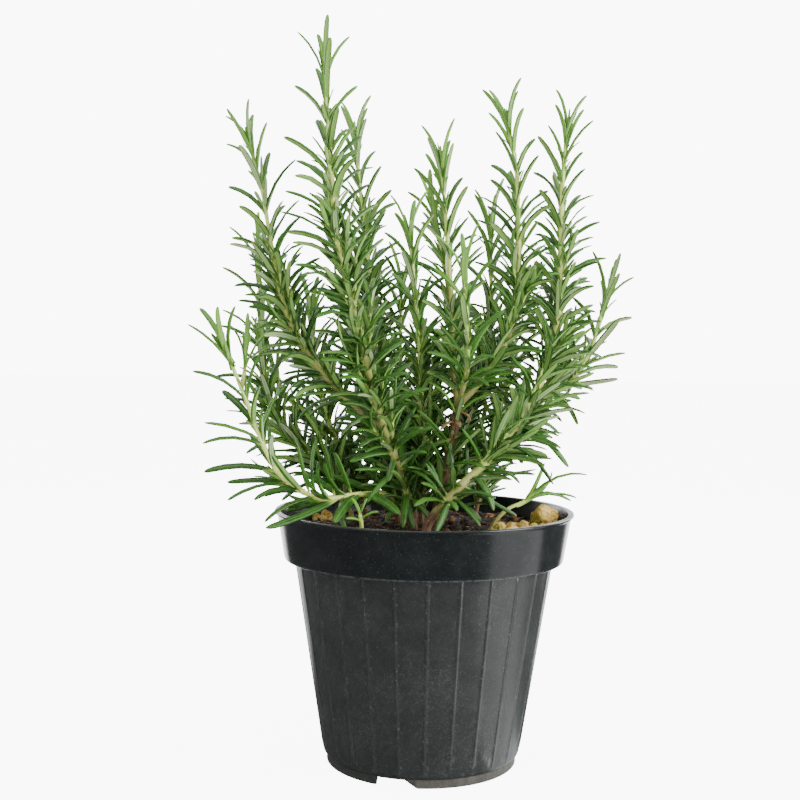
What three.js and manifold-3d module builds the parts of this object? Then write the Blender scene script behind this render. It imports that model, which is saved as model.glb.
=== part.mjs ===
import * as THREE from "three";
import { mergeVertices } from "three/addons/utils/BufferGeometryUtils.js";
import Module from "manifold-3d";

// A rosemary bush in a round, ribbed nursery pot, in millimetres with +Z up.
// The origin is on the pot's axis, on the surface that the pot stands on. -Y is the front.

const wasm = await Module();
wasm.setup();

// Pot
const RIM_RADIUS = 70;
const POT_HEIGHT = 118;
const LIP_HEIGHT = 1.8;
const LIP_OVERHANG = 1.3;
const COLLAR_HEIGHT = 22.5;
const COLLAR_BOTTOM_RADIUS = 65.3;
const WALL_TOP_RADIUS = 60.2;
const WALL_BASE_RADIUS = 46.1;
const WALL_THICKNESS = 1.3;
const CORNER = 1.2;
const FOOT_RADIUS = 44.6;
const FOOT_HEIGHT = 4;
const FOOT_THICKNESS = 1.8;
const FOOT_NOTCHES = 3;
const FOOT_NOTCH_TURN = -18.7;
const FOOT_NOTCH_WIDTH = 13.5;
const RIBS = 26;
const RIB_TURN = 0.9;
const RIB_WIDTH = 1.1;
const RIB_PROUD = 0.5;
const DRAIN_HOLES = 5;
const DRAIN_RADIUS = 4;
const DRAIN_CIRCLE = 29;
const DRAIN_SIDES = 8;
const POT_SIDES = 48;

// Soil and the clods in it
const SOIL_TOP = 109;
const SOIL_RELIEF = 1.1;
const SOIL_SIDES = 30;
const SOIL_RINGS = [0.84, 0.58, 0.3];
const CLEARANCE = 0.3;
const ROOT_CLEARANCE = 0.8;
const HOLE_SIDES = 6;
const CLOD_RELIEF = 0.12;
const LARGE_CLOD = 5;

// Stems
const STEM_SIDES = 4;
const STEM_STEP = 20;
const STEM_TAPER = 0.8;
const CROWN = 14;
const CURVE_STEPS = 12;
const CURVE_TENSION = 0.5;

// Needles
const NEEDLE_HALF_WIDTH = 1.1;
const NEEDLE_KEEL = 1.1;
const NEEDLE_BEND_AT = 0.4;
const NEEDLE_SUNK = 0.75;
const NEEDLE_LENGTH = 26;
const PAIR_SPACING_AT_TIP = 3;
const PAIR_SPACING = 11;
const PAIR_SPACING_CROWDED = 6.8;

// How the needles change from a shoot's tip to its older part, with the spread of their random
// part. Distances are from the tip, and angles are in degrees.
const GROWTH = {
  firstPair: 1.2,
  stretching: 8,
  crowdedFrom: 36,
  crowded: 70,
  ageing: 55,
  pairTurnSpread: 24,
  turnSpread: 18,
  tipLean: 7,
  leanGain: 48,
  tipLeanSpread: 6,
  leanSpreadGain: 14,
  bend: 22,
  bendSpread: 14,
  lengthSpread: 0.28,
  droop: 0.22,
};

// The room that a needle's line keeps to others, to clods and to the rim's inside and outside.
const NEEDLE_ROOM = 1.2;
const OWN_ROOM = 0.9;
const CLOD_ROOM = 2.2;
const RIM_ROOM_INSIDE = 6;
const RIM_ROOM_OUTSIDE = 2;
const REACH_MARGIN = 4;

const DEGREE = Math.PI / 180;
const MERGE_DISTANCE = 1e-4;
const UP = new THREE.Vector3(0, 0, 1);
const REFERENCE = new THREE.Vector3(0, 1, 0);

const FINISH = {
  plastic: { color: 0x1d2326, roughness: 0.42, metalness: 0 },
  soil: { color: 0x2a1d15, roughness: 1, metalness: 0 },
  clay: { color: 0xb58a55, roughness: 0.95, metalness: 0 },
  foliage: { color: 0x3f6b33, roughness: 0.55, metalness: 0 },
};

// Each leafy stem is its main shoot, from its root in the soil, and the shoots that grow out of
// it. A shoot has its radius at both ends, the length at its foot that stays bare, the turn of
// its pairs of needles in degrees, and the points that it passes through. Its stem ends in the
// crown of needles that reaches the last point.
const STEMS = {
  leafy_stem_tall: [
    { radius: [1.9, 0.8], bare: 84, turn: 20, points: [
      [-5, -6, 92], [-5, -6, 112], [-8, -8, 127], [-19, -20, 157], [-26, -28, 182],
      [-34, -38, 216], [-40, -42, 241], [-44, -44, 283], [-47, -43, 324],
    ] },
    { radius: [1.5, 0.6], bare: 16, turn: 65, points: [
      [-19, -20, 157], [-34, -20, 169], [-48, -22, 183], [-63, -26, 207], [-69, -26, 232],
      [-76, -22, 268], [-85, -16, 296],
    ] },
  ],
  leafy_stem_behind: [
    { radius: [1.6, 0.6], bare: 30, turn: 40, points: [
      [-12, 22, 92], [-12, 22, 110], [-20, 26, 148], [-25, 30, 188], [-28, 32, 234],
      [-33, 34, 271], [-36, 34, 306],
    ] },
  ],
  leafy_stem_left: [
    { radius: [1.3, 0.5], bare: 28, turn: 10, points: [
      [-34, 16, 92], [-34, 16, 110], [-46, 20, 132], [-62, 22, 146], [-75, 24, 166],
      [-80, 25, 202], [-82, 25, 248],
    ] },
  ],
  leafy_stem_low_left: [
    { radius: [1.4, 0.7], bare: 63, turn: 35, points: [
      [-8, 5, 92], [-8, 5, 112], [-12, 0, 121], [-19, -8, 126], [-29, -18, 127],
      [-41, -28, 126.5], [-54, -31, 128], [-70, -30, 142], [-75, -34, 159], [-82, -36, 175],
      [-92, -40, 202],
    ] },
    { radius: [1.1, 0.5], bare: 4, turn: 0, points: [
      [-82, -36, 175], [-81, -31, 187], [-84, -27, 200],
    ] },
  ],
  leafy_stem_middle: [
    { radius: [1.5, 0.6], bare: 30, turn: 75, points: [
      [-1, 11, 92], [-1, 11, 112], [-1, 8, 150], [-3, 2, 189], [-6, -4, 224], [-10, -8, 256],
    ] },
  ],
  leafy_stem_centre: [
    { radius: [2.8, 2], bare: 42, turn: 0, crown: 0, points: [
      [5, -2, 92], [5, -2, 110], [7, -2, 123], [11, -2, 142], [15, -2, 167],
    ] },
    { radius: [1.5, 0.6], bare: 6, turn: 50, points: [
      [15, -2, 167], [13, 2, 181], [12, 6, 212], [9, 8, 250], [5, 8, 291],
    ] },
    { radius: [1.1, 0.5], bare: 8, turn: 15, points: [
      [12, 6, 212], [7, 12, 238], [3, 14, 257], [-1, 15, 269],
    ] },
    { radius: [1.3, 0.6], bare: 8, turn: 85, points: [
      [15, -2, 167], [18, -14, 182], [18, -24, 198], [16, -32, 222], [14, -34, 237],
    ] },
    { radius: [1.7, 0.6], bare: 10, turn: 30, points: [
      [15, -2, 167], [29, 2, 183], [39, 6, 201], [43, 8, 222], [43, 10, 250],
      [41, 10, 283], [34, 8, 310],
    ] },
  ],
  leafy_stem_inner_right: [
    { radius: [1.5, 0.6], bare: 28, turn: 60, points: [
      [10, 26, 92], [10, 26, 110], [19, 30, 149], [27, 32, 186], [32, 34, 218],
      [31, 34, 264],
    ] },
  ],
  leafy_stem_right: [
    { radius: [2.2, 0.8], bare: 62, turn: 45, points: [
      [1, -20, 92], [1, -20, 112], [3.5, -20, 118.5], [10, -19.5, 125], [19, -17, 134],
      [38, -8, 152], [52, 2, 174], [62, 10, 203], [64, 16, 242], [65, 18, 285], [69, 18, 307],
    ] },
    { radius: [1.4, 0.6], bare: 6, turn: 5, points: [
      [52, 2, 174], [69, 14, 178], [84, 23, 204], [90, 27, 233],
    ] },
  ],
  leafy_stem_back_left: [
    { radius: [1.4, 0.6], bare: 22, turn: 25, points: [
      [-28, 32, 92], [-28, 32, 110], [-42, 38, 142], [-54, 43, 180], [-58, 45, 222],
    ] },
    { radius: [1.2, 0.5], bare: 6, turn: 70, points: [
      [-42, 38, 142], [-56, 37, 156], [-74, 42, 176], [-79, 43, 200],
    ] },
  ],
  leafy_stem_back: [
    { radius: [1.5, 0.6], bare: 22, turn: 55, points: [
      [-4, 40, 92], [-4, 40, 110], [-8, 45, 146], [-12, 48, 190], [-12, 48, 236],
    ] },
    { radius: [1.2, 0.5], bare: 6, turn: 5, points: [
      [-8, 45, 146], [4, 49, 164], [12, 50, 196],
    ] },
  ],
  leafy_stem_back_right: [
    { radius: [1.5, 0.6], bare: 22, turn: 80, points: [
      [26, 36, 92], [26, 36, 110], [35, 42, 146], [43, 47, 190], [47, 49, 232],
    ] },
    { radius: [1.2, 0.5], bare: 6, turn: 35, points: [
      [35, 42, 146], [50, 45, 158], [66, 46, 176], [72, 47, 200],
    ] },
  ],
  leafy_sprig_front: [
    { radius: [1.2, 0.7], bare: 26, turn: 30, crown: 0, points: [
      [-28, -36, 95], [-28, -36, 110], [-28.5, -36.5, 116], [-29, -37, 121],
    ] },
  ],
  leafy_sprig_right: [
    { radius: [1.3, 0.7], bare: 34, turn: 50, points: [
      [31, -3, 95], [31, -3, 110], [37, -1, 117], [44, 1, 120.5], [51, 5, 124], [57, 8, 133],
    ] },
  ],
};

// Needles that hang over the rim or reach out on their own: the distance along the main shoot,
// the tip, and how far the middle rises over a straight line.
const PLACED_NEEDLES = {
  leafy_stem_tall: [
    { along: 36, tip: [-29, -24, 132], rise: 1 },
    { along: 56, tip: [-34, -30, 143], rise: 2 },
    { along: 57, tip: [2, -24, 158], rise: 3 },
    { along: 73, tip: [-39, -35, 169], rise: 4 },
    { along: 74, tip: [1, -28, 176], rise: 4 },
  ],
  leafy_stem_low_left: [
    { along: 54, tip: [-12, -38, 121], rise: 1 },
    { along: 58, tip: [-40, -44, 117.5], rise: 2 },
    { along: 70, tip: [-69, -52, 116], rise: -1 },
    { along: 73, tip: [-64, -24, 122.5], rise: 0 },
    { along: 101, tip: [-100, -24, 137], rise: 3 },
    { along: 95, tip: [-90, -20, 132], rise: 1 },
  ],
  leafy_stem_right: [
    { along: 72, tip: [58, -22, 133], rise: 6 },
    { along: 84, tip: [66, -12, 140], rise: 5 },
    { along: 46, tip: [42, -18, 118], rise: 0 },
    { along: 59, tip: [16, -30, 158], rise: 2 },
    { along: 60, tip: [58, -14, 144], rise: 2 },
  ],
  leafy_sprig_front: [
    { along: 22, tip: [-35, -42, 119], rise: 1 },
    { along: 23, tip: [-21, -40, 122], rise: 1 },
    { along: 24.5, tip: [-33, -33, 127], rise: 1 },
    { along: 25, tip: [-26, -41, 128], rise: 1 },
  ],
  leafy_sprig_right: [
    { along: 38, tip: [77, 2, 135], rise: 5 },
    { along: 36, tip: [70.5, 11, 121.5], rise: 4 },
    { along: 37, tip: [57, 6, 140], rise: -3 },
  ],
};

// Clods of clay that lie in the soil: centre, radii and turn.
const CLODS = [
  { centre: [57.5, 8, 113.4], size: [6.8, 6, 6.2], turn: 20 },
  { centre: [47, 0, 110.8], size: [3.4, 2.8, 2.8], turn: 70 },
  { centre: [34, -14, 111.2], size: [3.6, 2.8, 2.6], turn: 130 },
  { centre: [56, 23, 112.4], size: [3.6, 3, 3], turn: 200 },
  { centre: [-48, 33, 110.3], size: [3.6, 2.8, 2.3], turn: 300 },
];

// Solids

function solidFrom(geometry) {
  const bare = geometry.clone();
  bare.deleteAttribute("normal");
  bare.deleteAttribute("uv");
  const merged = mergeVertices(bare, MERGE_DISTANCE);
  const triVerts = new Uint32Array(merged.index.array);
  const vertProperties = new Float32Array(merged.attributes.position.array);
  return new wasm.Manifold(new wasm.Mesh({ numProp: 3, vertProperties, triVerts }));
}

function geometryFrom(solid) {
  const mesh = solid.getMesh();
  const geometry = new THREE.BufferGeometry();
  geometry.setAttribute("position", new THREE.BufferAttribute(new Float32Array(mesh.vertProperties), 3));
  geometry.setIndex(new THREE.BufferAttribute(new Uint32Array(mesh.triVerts), 1));
  geometry.computeVertexNormals();
  return geometry;
}

// The largest of the bodies that a union leaves, without the loose scraps.
function mainBody(solid) {
  return solid.decompose().reduce((most, body) => (body.volume() > most.volume() ? body : most));
}

function named(name, geometry, finish) {
  const mesh = new THREE.Mesh(geometry, new THREE.MeshStandardMaterial(FINISH[finish]));
  mesh.name = name;
  return mesh;
}

function turned(profile, sides) {
  const points = profile.map(([radius, z]) => new THREE.Vector2(radius, z));
  return new THREE.LatheGeometry(points, sides).rotateX(Math.PI / 2);
}

// A closed skin over rings of points, each ring anticlockwise seen from its far end. The first
// and the last entry may be a single point.
function loft(rings) {
  const positions = rings.flat().flatMap((p) => [p.x, p.y, p.z]);
  const faces = [];
  const closeRing = (ring, start, flip) => {
    for (let i = 1; i < ring.length - 1; i++) faces.push(start, start + i + flip, start + i + 1 - flip);
  };
  closeRing(rings[0], 0, 1);
  let start = 0;
  for (let r = 0; r + 1 < rings.length; r++) {
    const next = start + rings[r].length;
    const sides = Math.max(rings[r].length, rings[r + 1].length);
    for (let i = 0; i < sides; i++) {
      const j = (i + 1) % sides;
      if (rings[r].length === 1) faces.push(start, next + j, next + i);
      else if (rings[r + 1].length === 1) faces.push(start + i, start + j, next);
      else faces.push(start + i, start + j, next + j, start + i, next + j, next + i);
    }
    start = next;
  }
  closeRing(rings.at(-1), start, 0);
  const geometry = new THREE.BufferGeometry();
  geometry.setAttribute("position", new THREE.Float32BufferAttribute(positions, 3));
  geometry.setIndex(faces);
  return geometry;
}

// Pot: a foot ring with notches, a ribbed wall, a smooth collar and an out-turned lip

function potBody() {
  const collarBottom = POT_HEIGHT - COLLAR_HEIGHT;
  const lipBottom = POT_HEIGHT - LIP_HEIGHT;
  const collarTopRadius = RIM_RADIUS - LIP_OVERHANG;
  const floorTop = FOOT_HEIGHT + WALL_THICKNESS;
  const profile = [
    [0, FOOT_HEIGHT],
    [FOOT_RADIUS - FOOT_THICKNESS, FOOT_HEIGHT],
    [FOOT_RADIUS - FOOT_THICKNESS, 0],
    [FOOT_RADIUS, 0],
    [FOOT_RADIUS, FOOT_HEIGHT],
    [WALL_BASE_RADIUS, FOOT_HEIGHT + CORNER],
    [WALL_TOP_RADIUS, collarBottom],
    [COLLAR_BOTTOM_RADIUS - CORNER / 2, collarBottom],
    [COLLAR_BOTTOM_RADIUS, collarBottom + CORNER / 2],
    [collarTopRadius, lipBottom],
    [RIM_RADIUS, lipBottom + CORNER / 2],
    [RIM_RADIUS, POT_HEIGHT],
    [collarTopRadius - WALL_THICKNESS, POT_HEIGHT],
    [COLLAR_BOTTOM_RADIUS - WALL_THICKNESS, collarBottom + WALL_THICKNESS],
    [WALL_TOP_RADIUS - WALL_THICKNESS, collarBottom + WALL_THICKNESS / 2],
    [WALL_BASE_RADIUS - WALL_THICKNESS, floorTop + CORNER],
    [WALL_BASE_RADIUS - WALL_THICKNESS - CORNER, floorTop],
    [0, floorTop],
  ];
  return solidFrom(turned(profile, POT_SIDES).rotateZ((RIB_TURN + 180 / POT_SIDES) * DEGREE));
}

function rib(turn) {
  const collarBottom = POT_HEIGHT - COLLAR_HEIGHT;
  const slope = (WALL_TOP_RADIUS - WALL_BASE_RADIUS) / (collarBottom - FOOT_HEIGHT - CORNER);
  const low = FOOT_HEIGHT + 2 * CORNER;
  const high = collarBottom - CORNER / 4;
  const wallAt = (z) => WALL_BASE_RADIUS + slope * (z - FOOT_HEIGHT - CORNER);
  const outline = new THREE.Shape();
  outline.moveTo(wallAt(low) - WALL_THICKNESS / 2, low);
  outline.lineTo(wallAt(low) + RIB_PROUD, low);
  outline.lineTo(wallAt(high) + RIB_PROUD, high);
  outline.lineTo(wallAt(high) - WALL_THICKNESS / 2, high);
  const blade = new THREE.ExtrudeGeometry(outline, { depth: RIB_WIDTH, bevelEnabled: false });
  blade.translate(0, 0, -RIB_WIDTH / 2).rotateX(Math.PI / 2);
  return solidFrom(blade.rotateZ((turn - 90) * DEGREE));
}

function footNotch(turn) {
  const tall = 2 * FOOT_HEIGHT;
  const box = new THREE.BoxGeometry(4 * FOOT_THICKNESS, FOOT_NOTCH_WIDTH, tall);
  box.translate(FOOT_RADIUS - FOOT_THICKNESS / 2, 0, FOOT_HEIGHT - CORNER / 6 - tall / 2);
  return solidFrom(box.rotateZ((turn - 90) * DEGREE));
}

function drainHole(turn) {
  const hole = new THREE.CylinderGeometry(DRAIN_RADIUS, DRAIN_RADIUS, 3 * WALL_THICKNESS, DRAIN_SIDES);
  hole.rotateX(Math.PI / 2).translate(DRAIN_CIRCLE, 0, FOOT_HEIGHT + WALL_THICKNESS / 2);
  return solidFrom(hole.rotateZ(turn * DEGREE));
}

function around(count, firstTurn, make) {
  return Array.from({ length: count }, (_, i) => make(firstTurn + (360 * i) / count));
}

function pot() {
  const ribs = around(RIBS, RIB_TURN, rib);
  const notches = around(FOOT_NOTCHES, FOOT_NOTCH_TURN, footNotch);
  const drains = around(DRAIN_HOLES, 0, drainHole);
  const cuts = wasm.Manifold.union([...notches, ...drains]);
  const solid = wasm.Manifold.union([potBody(), ...ribs]).subtract(cuts);
  return named("pot", geometryFrom(solid), "plastic");
}

// Soil: a plug that fills the pot, with a lumpy top, a plain hole for each root and a seat for
// each clod

function soilHeight(x, y) {
  const long = Math.sin(0.11 * x + 0.4) * Math.cos(0.09 * y - 0.8);
  const short = Math.sin(0.31 * x - 0.27 * y) * Math.cos(0.23 * x + 0.35 * y + 1);
  return SOIL_TOP + SOIL_RELIEF * (0.7 * long + 0.5 * short);
}

function soilPlug() {
  const collarBottom = POT_HEIGHT - COLLAR_HEIGHT;
  const floorTop = FOOT_HEIGHT + WALL_THICKNESS + CLEARANCE;
  const skin = WALL_THICKNESS + CLEARANCE * 1.5;
  const share = (SOIL_TOP - collarBottom) / COLLAR_HEIGHT;
  const collarRadius = THREE.MathUtils.lerp(COLLAR_BOTTOM_RADIUS, RIM_RADIUS - LIP_OVERHANG, share);
  const topRadius = collarRadius - skin - CLEARANCE;
  const profile = [
    [0, floorTop],
    [WALL_BASE_RADIUS - skin - CORNER, floorTop],
    [WALL_BASE_RADIUS - skin, floorTop + CORNER],
    [WALL_TOP_RADIUS - skin, collarBottom + WALL_THICKNESS / 2 + CLEARANCE],
    [COLLAR_BOTTOM_RADIUS - skin, collarBottom + WALL_THICKNESS + CLEARANCE],
    [topRadius, SOIL_TOP],
    ...SOIL_RINGS.map((part) => [topRadius * part, SOIL_TOP]),
    [0, SOIL_TOP],
  ];
  const geometry = turned(profile, SOIL_SIDES);
  const position = geometry.attributes.position;
  for (let i = 0; i < position.count; i++) {
    const onTop = position.getZ(i) > SOIL_TOP - CLEARANCE;
    if (onTop) position.setZ(i, soilHeight(position.getX(i), position.getY(i)));
  }
  return solidFrom(geometry);
}

function rootHole([x, y], radius, bottom) {
  const holeRadius = (radius + ROOT_CLEARANCE) / Math.cos(Math.PI / HOLE_SIDES);
  const depth = 2 * (SOIL_TOP - bottom) + 2 * CLEARANCE;
  const hole = new THREE.CylinderGeometry(holeRadius, holeRadius, depth, HOLE_SIDES);
  return solidFrom(hole.rotateX(Math.PI / 2).translate(x, y, SOIL_TOP));
}

function clodShape({ centre, size, turn }, grow) {
  const shape = new THREE.IcosahedronGeometry(1, size[0] > LARGE_CLOD ? 1 : 0);
  const position = shape.attributes.position;
  const corner = new THREE.Vector3();
  for (let i = 0; i < position.count; i++) {
    corner.fromBufferAttribute(position, i);
    const wave = Math.sin(4.1 * corner.x + turn) * Math.cos(3.3 * corner.y - 2.2 * corner.z);
    corner.multiplyScalar(1 + CLOD_RELIEF * wave);
    position.setXYZ(i, corner.x, corner.y, corner.z);
  }
  shape.scale(size[0] + grow, size[1] + grow, size[2] + grow);
  return shape.rotateZ(turn * DEGREE).translate(...centre);
}

function soil() {
  const holes = Object.values(STEMS).map(([main]) => {
    return rootHole(main.points[0], main.radius[0], main.points[0][2]);
  });
  const seats = CLODS.map((clod) => solidFrom(clodShape(clod, 2 * CLEARANCE)));
  const solid = soilPlug().subtract(wasm.Manifold.union([...holes, ...seats]));
  return named("soil", geometryFrom(solid), "soil");
}

function clods() {
  return CLODS.map((clod, i) => {
    return named("clod_" + (i + 1), geometryFrom(solidFrom(clodShape(clod, 0))), "clay");
  });
}

// Foliage: pairs of needles along each shoot, each pair a quarter turn from the last

// Evenly spread numbers from 0 to 1, the same on every run.
function dice(seed) {
  let state = seed >>> 0;
  return () => {
    state = (state + 0x6d2b79f5) >>> 0;
    let mixed = Math.imul(state ^ (state >>> 15), state | 1);
    mixed ^= mixed + Math.imul(mixed ^ (mixed >>> 7), mixed | 61);
    return ((mixed ^ (mixed >>> 14)) >>> 0) / 2 ** 32;
  };
}

// The shoot's centre line as straight steps of one length, with the distance along it.
function centreLine(points, crown) {
  const corners = points.map((p) => new THREE.Vector3(...p));
  const curve = new THREE.CatmullRomCurve3(corners, false, "catmullrom", CURVE_TENSION);
  const fine = curve.getPoints(CURVE_STEPS * (points.length - 1));
  const travelled = distancesAlong(fine);
  const end = travelled.at(-1) - crown;
  const count = Math.max(3, Math.round(end / STEM_STEP));
  const steps = [fine[0]];
  for (let k = 1; k <= count; k++) {
    const goal = (end * k) / count;
    const i = travelled.findIndex((value) => value >= goal);
    const share = (goal - travelled[i - 1]) / (travelled[i] - travelled[i - 1]);
    steps.push(fine[i - 1].clone().lerp(fine[i], share));
  }
  const along = distancesAlong(steps);
  return { steps, along, length: along.at(-1) };
}

function distancesAlong(places) {
  const distances = [0];
  for (let i = 1; i < places.length; i++) {
    distances.push(distances[i - 1] + places[i].distanceTo(places[i - 1]));
  }
  return distances;
}

function pointAlong(line, distance) {
  let i = 1;
  while (i < line.along.length - 1 && line.along[i] < distance) i++;
  const share = (distance - line.along[i - 1]) / (line.along[i] - line.along[i - 1]);
  const place = line.steps[i - 1].clone().lerp(line.steps[i], share);
  const ahead = line.steps[i].clone().sub(line.steps[i - 1]).normalize();
  return { place, ahead };
}

function sideAxes(ahead) {
  const side = REFERENCE.clone().addScaledVector(ahead, -REFERENCE.dot(ahead)).normalize();
  return { side, across: ahead.clone().cross(side) };
}

function shootRadius(shoot, line, distance) {
  const [base, tip] = shoot.radius;
  return tip + (base - tip) * Math.max(0, 1 - distance / line.length) ** STEM_TAPER;
}

function stemSolid(shoot, line) {
  const last = line.steps.length - 1;
  const rings = line.steps.map((place, i) => {
    const next = line.steps[Math.min(i + 1, last)];
    const ahead = next.clone().sub(line.steps[Math.max(i - 1, 0)]).normalize();
    const { side, across } = sideAxes(ahead);
    const radius = shootRadius(shoot, line, line.along[i]);
    return Array.from({ length: STEM_SIDES }, (_, k) => {
      const turn = shoot.turn * DEGREE + (2 * Math.PI * (k + 0.5)) / STEM_SIDES;
      const out = side.clone().multiplyScalar(Math.cos(turn)).addScaledVector(across, Math.sin(turn));
      return place.clone().addScaledVector(out, radius);
    });
  });
  return solidFrom(loft(rings));
}

// A needle is a root sunk past the stem's centre line, a bend and a tip.
function needlePath(place, ahead, radius, turn, lean, bend, length, droop) {
  const { side, across } = sideAxes(ahead);
  const out = side.multiplyScalar(Math.cos(turn)).addScaledVector(across, Math.sin(turn));
  const run = (angle, fall) => {
    const way = ahead.clone().multiplyScalar(Math.cos(angle)).addScaledVector(out, Math.sin(angle));
    return way.addScaledVector(UP, -fall).normalize();
  };
  const root = place.clone().addScaledVector(run(lean, 0), (-NEEDLE_SUNK * radius) / Math.sin(lean));
  const middle = place.clone().addScaledVector(run(lean, 0), length * NEEDLE_BEND_AT);
  const tip = middle.clone().addScaledVector(run(lean + bend, droop), length * (1 - NEEDLE_BEND_AT));
  return { root, middle, tip, ahead };
}

function placedPath(line, { along, tip, rise }) {
  const { place, ahead } = pointAlong(line, along);
  const end = new THREE.Vector3(...tip);
  const middle = place.clone().lerp(end, NEEDLE_BEND_AT).addScaledVector(UP, rise);
  return { root: place, middle, tip: end, ahead };
}

// Its flat side faces the stem's own tip, and its keel faces away.
function needleSolid({ root, middle, tip, ahead }) {
  const way = tip.clone().sub(root).normalize();
  const face = ahead.clone().addScaledVector(way, -ahead.dot(way)).normalize();
  const wide = way.clone().cross(face);
  const ring = [
    middle.clone().addScaledVector(wide, NEEDLE_HALF_WIDTH),
    middle.clone().addScaledVector(face, -NEEDLE_KEEL),
    middle.clone().addScaledVector(wide, -NEEDLE_HALF_WIDTH),
  ];
  return solidFrom(loft([[root], ring, [tip]]));
}

// The shortest distance between two straight pieces, a to b and c to d.
function apart(a, b, c, d) {
  const u = b.clone().sub(a);
  const v = d.clone().sub(c);
  const w = a.clone().sub(c);
  const uu = u.dot(u);
  const vv = v.dot(v);
  const uv = u.dot(v);
  const uw = u.dot(w);
  const vw = v.dot(w);
  const spread = uu * vv - uv * uv;
  let s = spread > 1e-9 ? THREE.MathUtils.clamp((uv * vw - vv * uw) / spread, 0, 1) : 0;
  const t = THREE.MathUtils.clamp((uv * s + vw) / vv, 0, 1);
  s = THREE.MathUtils.clamp((uv * t - uw) / uu, 0, 1);
  return w.addScaledVector(u, s).addScaledVector(v, -t).length();
}

function hitsPot(p) {
  const radius = Math.hypot(p.x, p.y);
  const nearRim = radius > RIM_RADIUS - RIM_ROOM_INSIDE && radius < RIM_RADIUS + RIM_ROOM_OUTSIDE;
  const rimTop = POT_HEIGHT + NEEDLE_ROOM + CLEARANCE;
  const soilTop = soilHeight(p.x, p.y) + NEEDLE_ROOM + SOIL_RELIEF;
  return (nearRim && p.z < rimTop) || (radius < RIM_RADIUS && p.z < soilTop);
}

function hitsClod(p) {
  return CLODS.some(({ centre, size }) => {
    return p.distanceTo(new THREE.Vector3(...centre)) < size[0] + CLOD_ROOM;
  });
}

// A straight piece of a shoot or of a needle that other needles have to miss.
function bar(from, to, radius, node, id) {
  const middle = from.clone().lerp(to, 0.5);
  return { from, to, radius, node, id, middle, half: from.distanceTo(to) / 2 };
}

function isFree({ root, middle, tip }, node, id, bars) {
  const shares = [1 / 3, 2 / 3, 1];
  const near = shares.map((share) => root.clone().lerp(middle, share));
  const far = shares.map((share) => middle.clone().lerp(tip, share));
  if ([...near, ...far].some((p) => hitsPot(p) || hitsClod(p))) return false;
  const reach = tip.distanceTo(root) + REACH_MARGIN;
  return bars.every((other) => {
    if (other.id === id || other.middle.distanceTo(root) > reach + other.half) return true;
    const room = other.radius + (other.node === node ? OWN_ROOM : NEEDLE_ROOM + CLEARANCE);
    return [[root, middle], [middle, tip]].every(([from, to]) => {
      return apart(from, to, other.from, other.to) > room;
    });
  });
}

// Ways to bend a needle clear: its turn and lean in degrees, and its length.
const TRIES = [
  [0, 0, 1],
  [16, 0, 1],
  [-16, 0, 1],
  [0, -11, 1],
  [0, 11, 1],
  [30, -6, 0.95],
  [-30, -6, 0.95],
  [0, -20, 0.88],
  [45, 8, 0.9],
  [-45, 8, 0.9],
  [20, 20, 0.8],
  [-20, -25, 0.75],
];

function growNeedles({ shoot, line, node, id }, bars) {
  const roll = dice(1009 * id + 17);
  const spread = (range) => range * (roll() - 0.5);
  const needles = [];
  let fromTip = GROWTH.firstPair;
  for (let k = 0; fromTip < line.length - shoot.bare; k++) {
    const age = 1 - Math.exp(-fromTip / GROWTH.ageing);
    const { place, ahead } = pointAlong(line, line.length - fromTip);
    const radius = shootRadius(shoot, line, line.length - fromTip);
    const pairTurn = shoot.turn + 90 * k + spread(GROWTH.pairTurnSpread);
    for (let half = 0; half < 2; half++) {
      const turn = pairTurn + 180 * half + spread(GROWTH.turnSpread);
      const leanSpread = GROWTH.tipLeanSpread + GROWTH.leanSpreadGain * age;
      const lean = GROWTH.tipLean + GROWTH.leanGain * age + spread(leanSpread);
      const bend = GROWTH.bend + spread(GROWTH.bendSpread);
      const length = NEEDLE_LENGTH * (1 + spread(GROWTH.lengthSpread));
      const droop = GROWTH.droop * age * roll();
      for (const [addTurn, addLean, shorten] of TRIES) {
        const path = needlePath(
          place,
          ahead,
          radius,
          (turn + addTurn) * DEGREE,
          (lean + addLean) * DEGREE,
          bend * DEGREE,
          length * shorten,
          droop,
        );
        if (!isFree(path, node, id, bars)) continue;
        needles.push(path);
        break;
      }
    }
    const { lerp, smoothstep } = THREE.MathUtils;
    const stretched = 1 - Math.exp(-fromTip / GROWTH.stretching);
    const crowded = smoothstep(fromTip, GROWTH.crowdedFrom, GROWTH.crowded);
    const spacing = lerp(PAIR_SPACING_AT_TIP, PAIR_SPACING, stretched);
    fromTip += lerp(spacing, PAIR_SPACING_CROWDED, crowded);
  }
  return needles;
}

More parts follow.
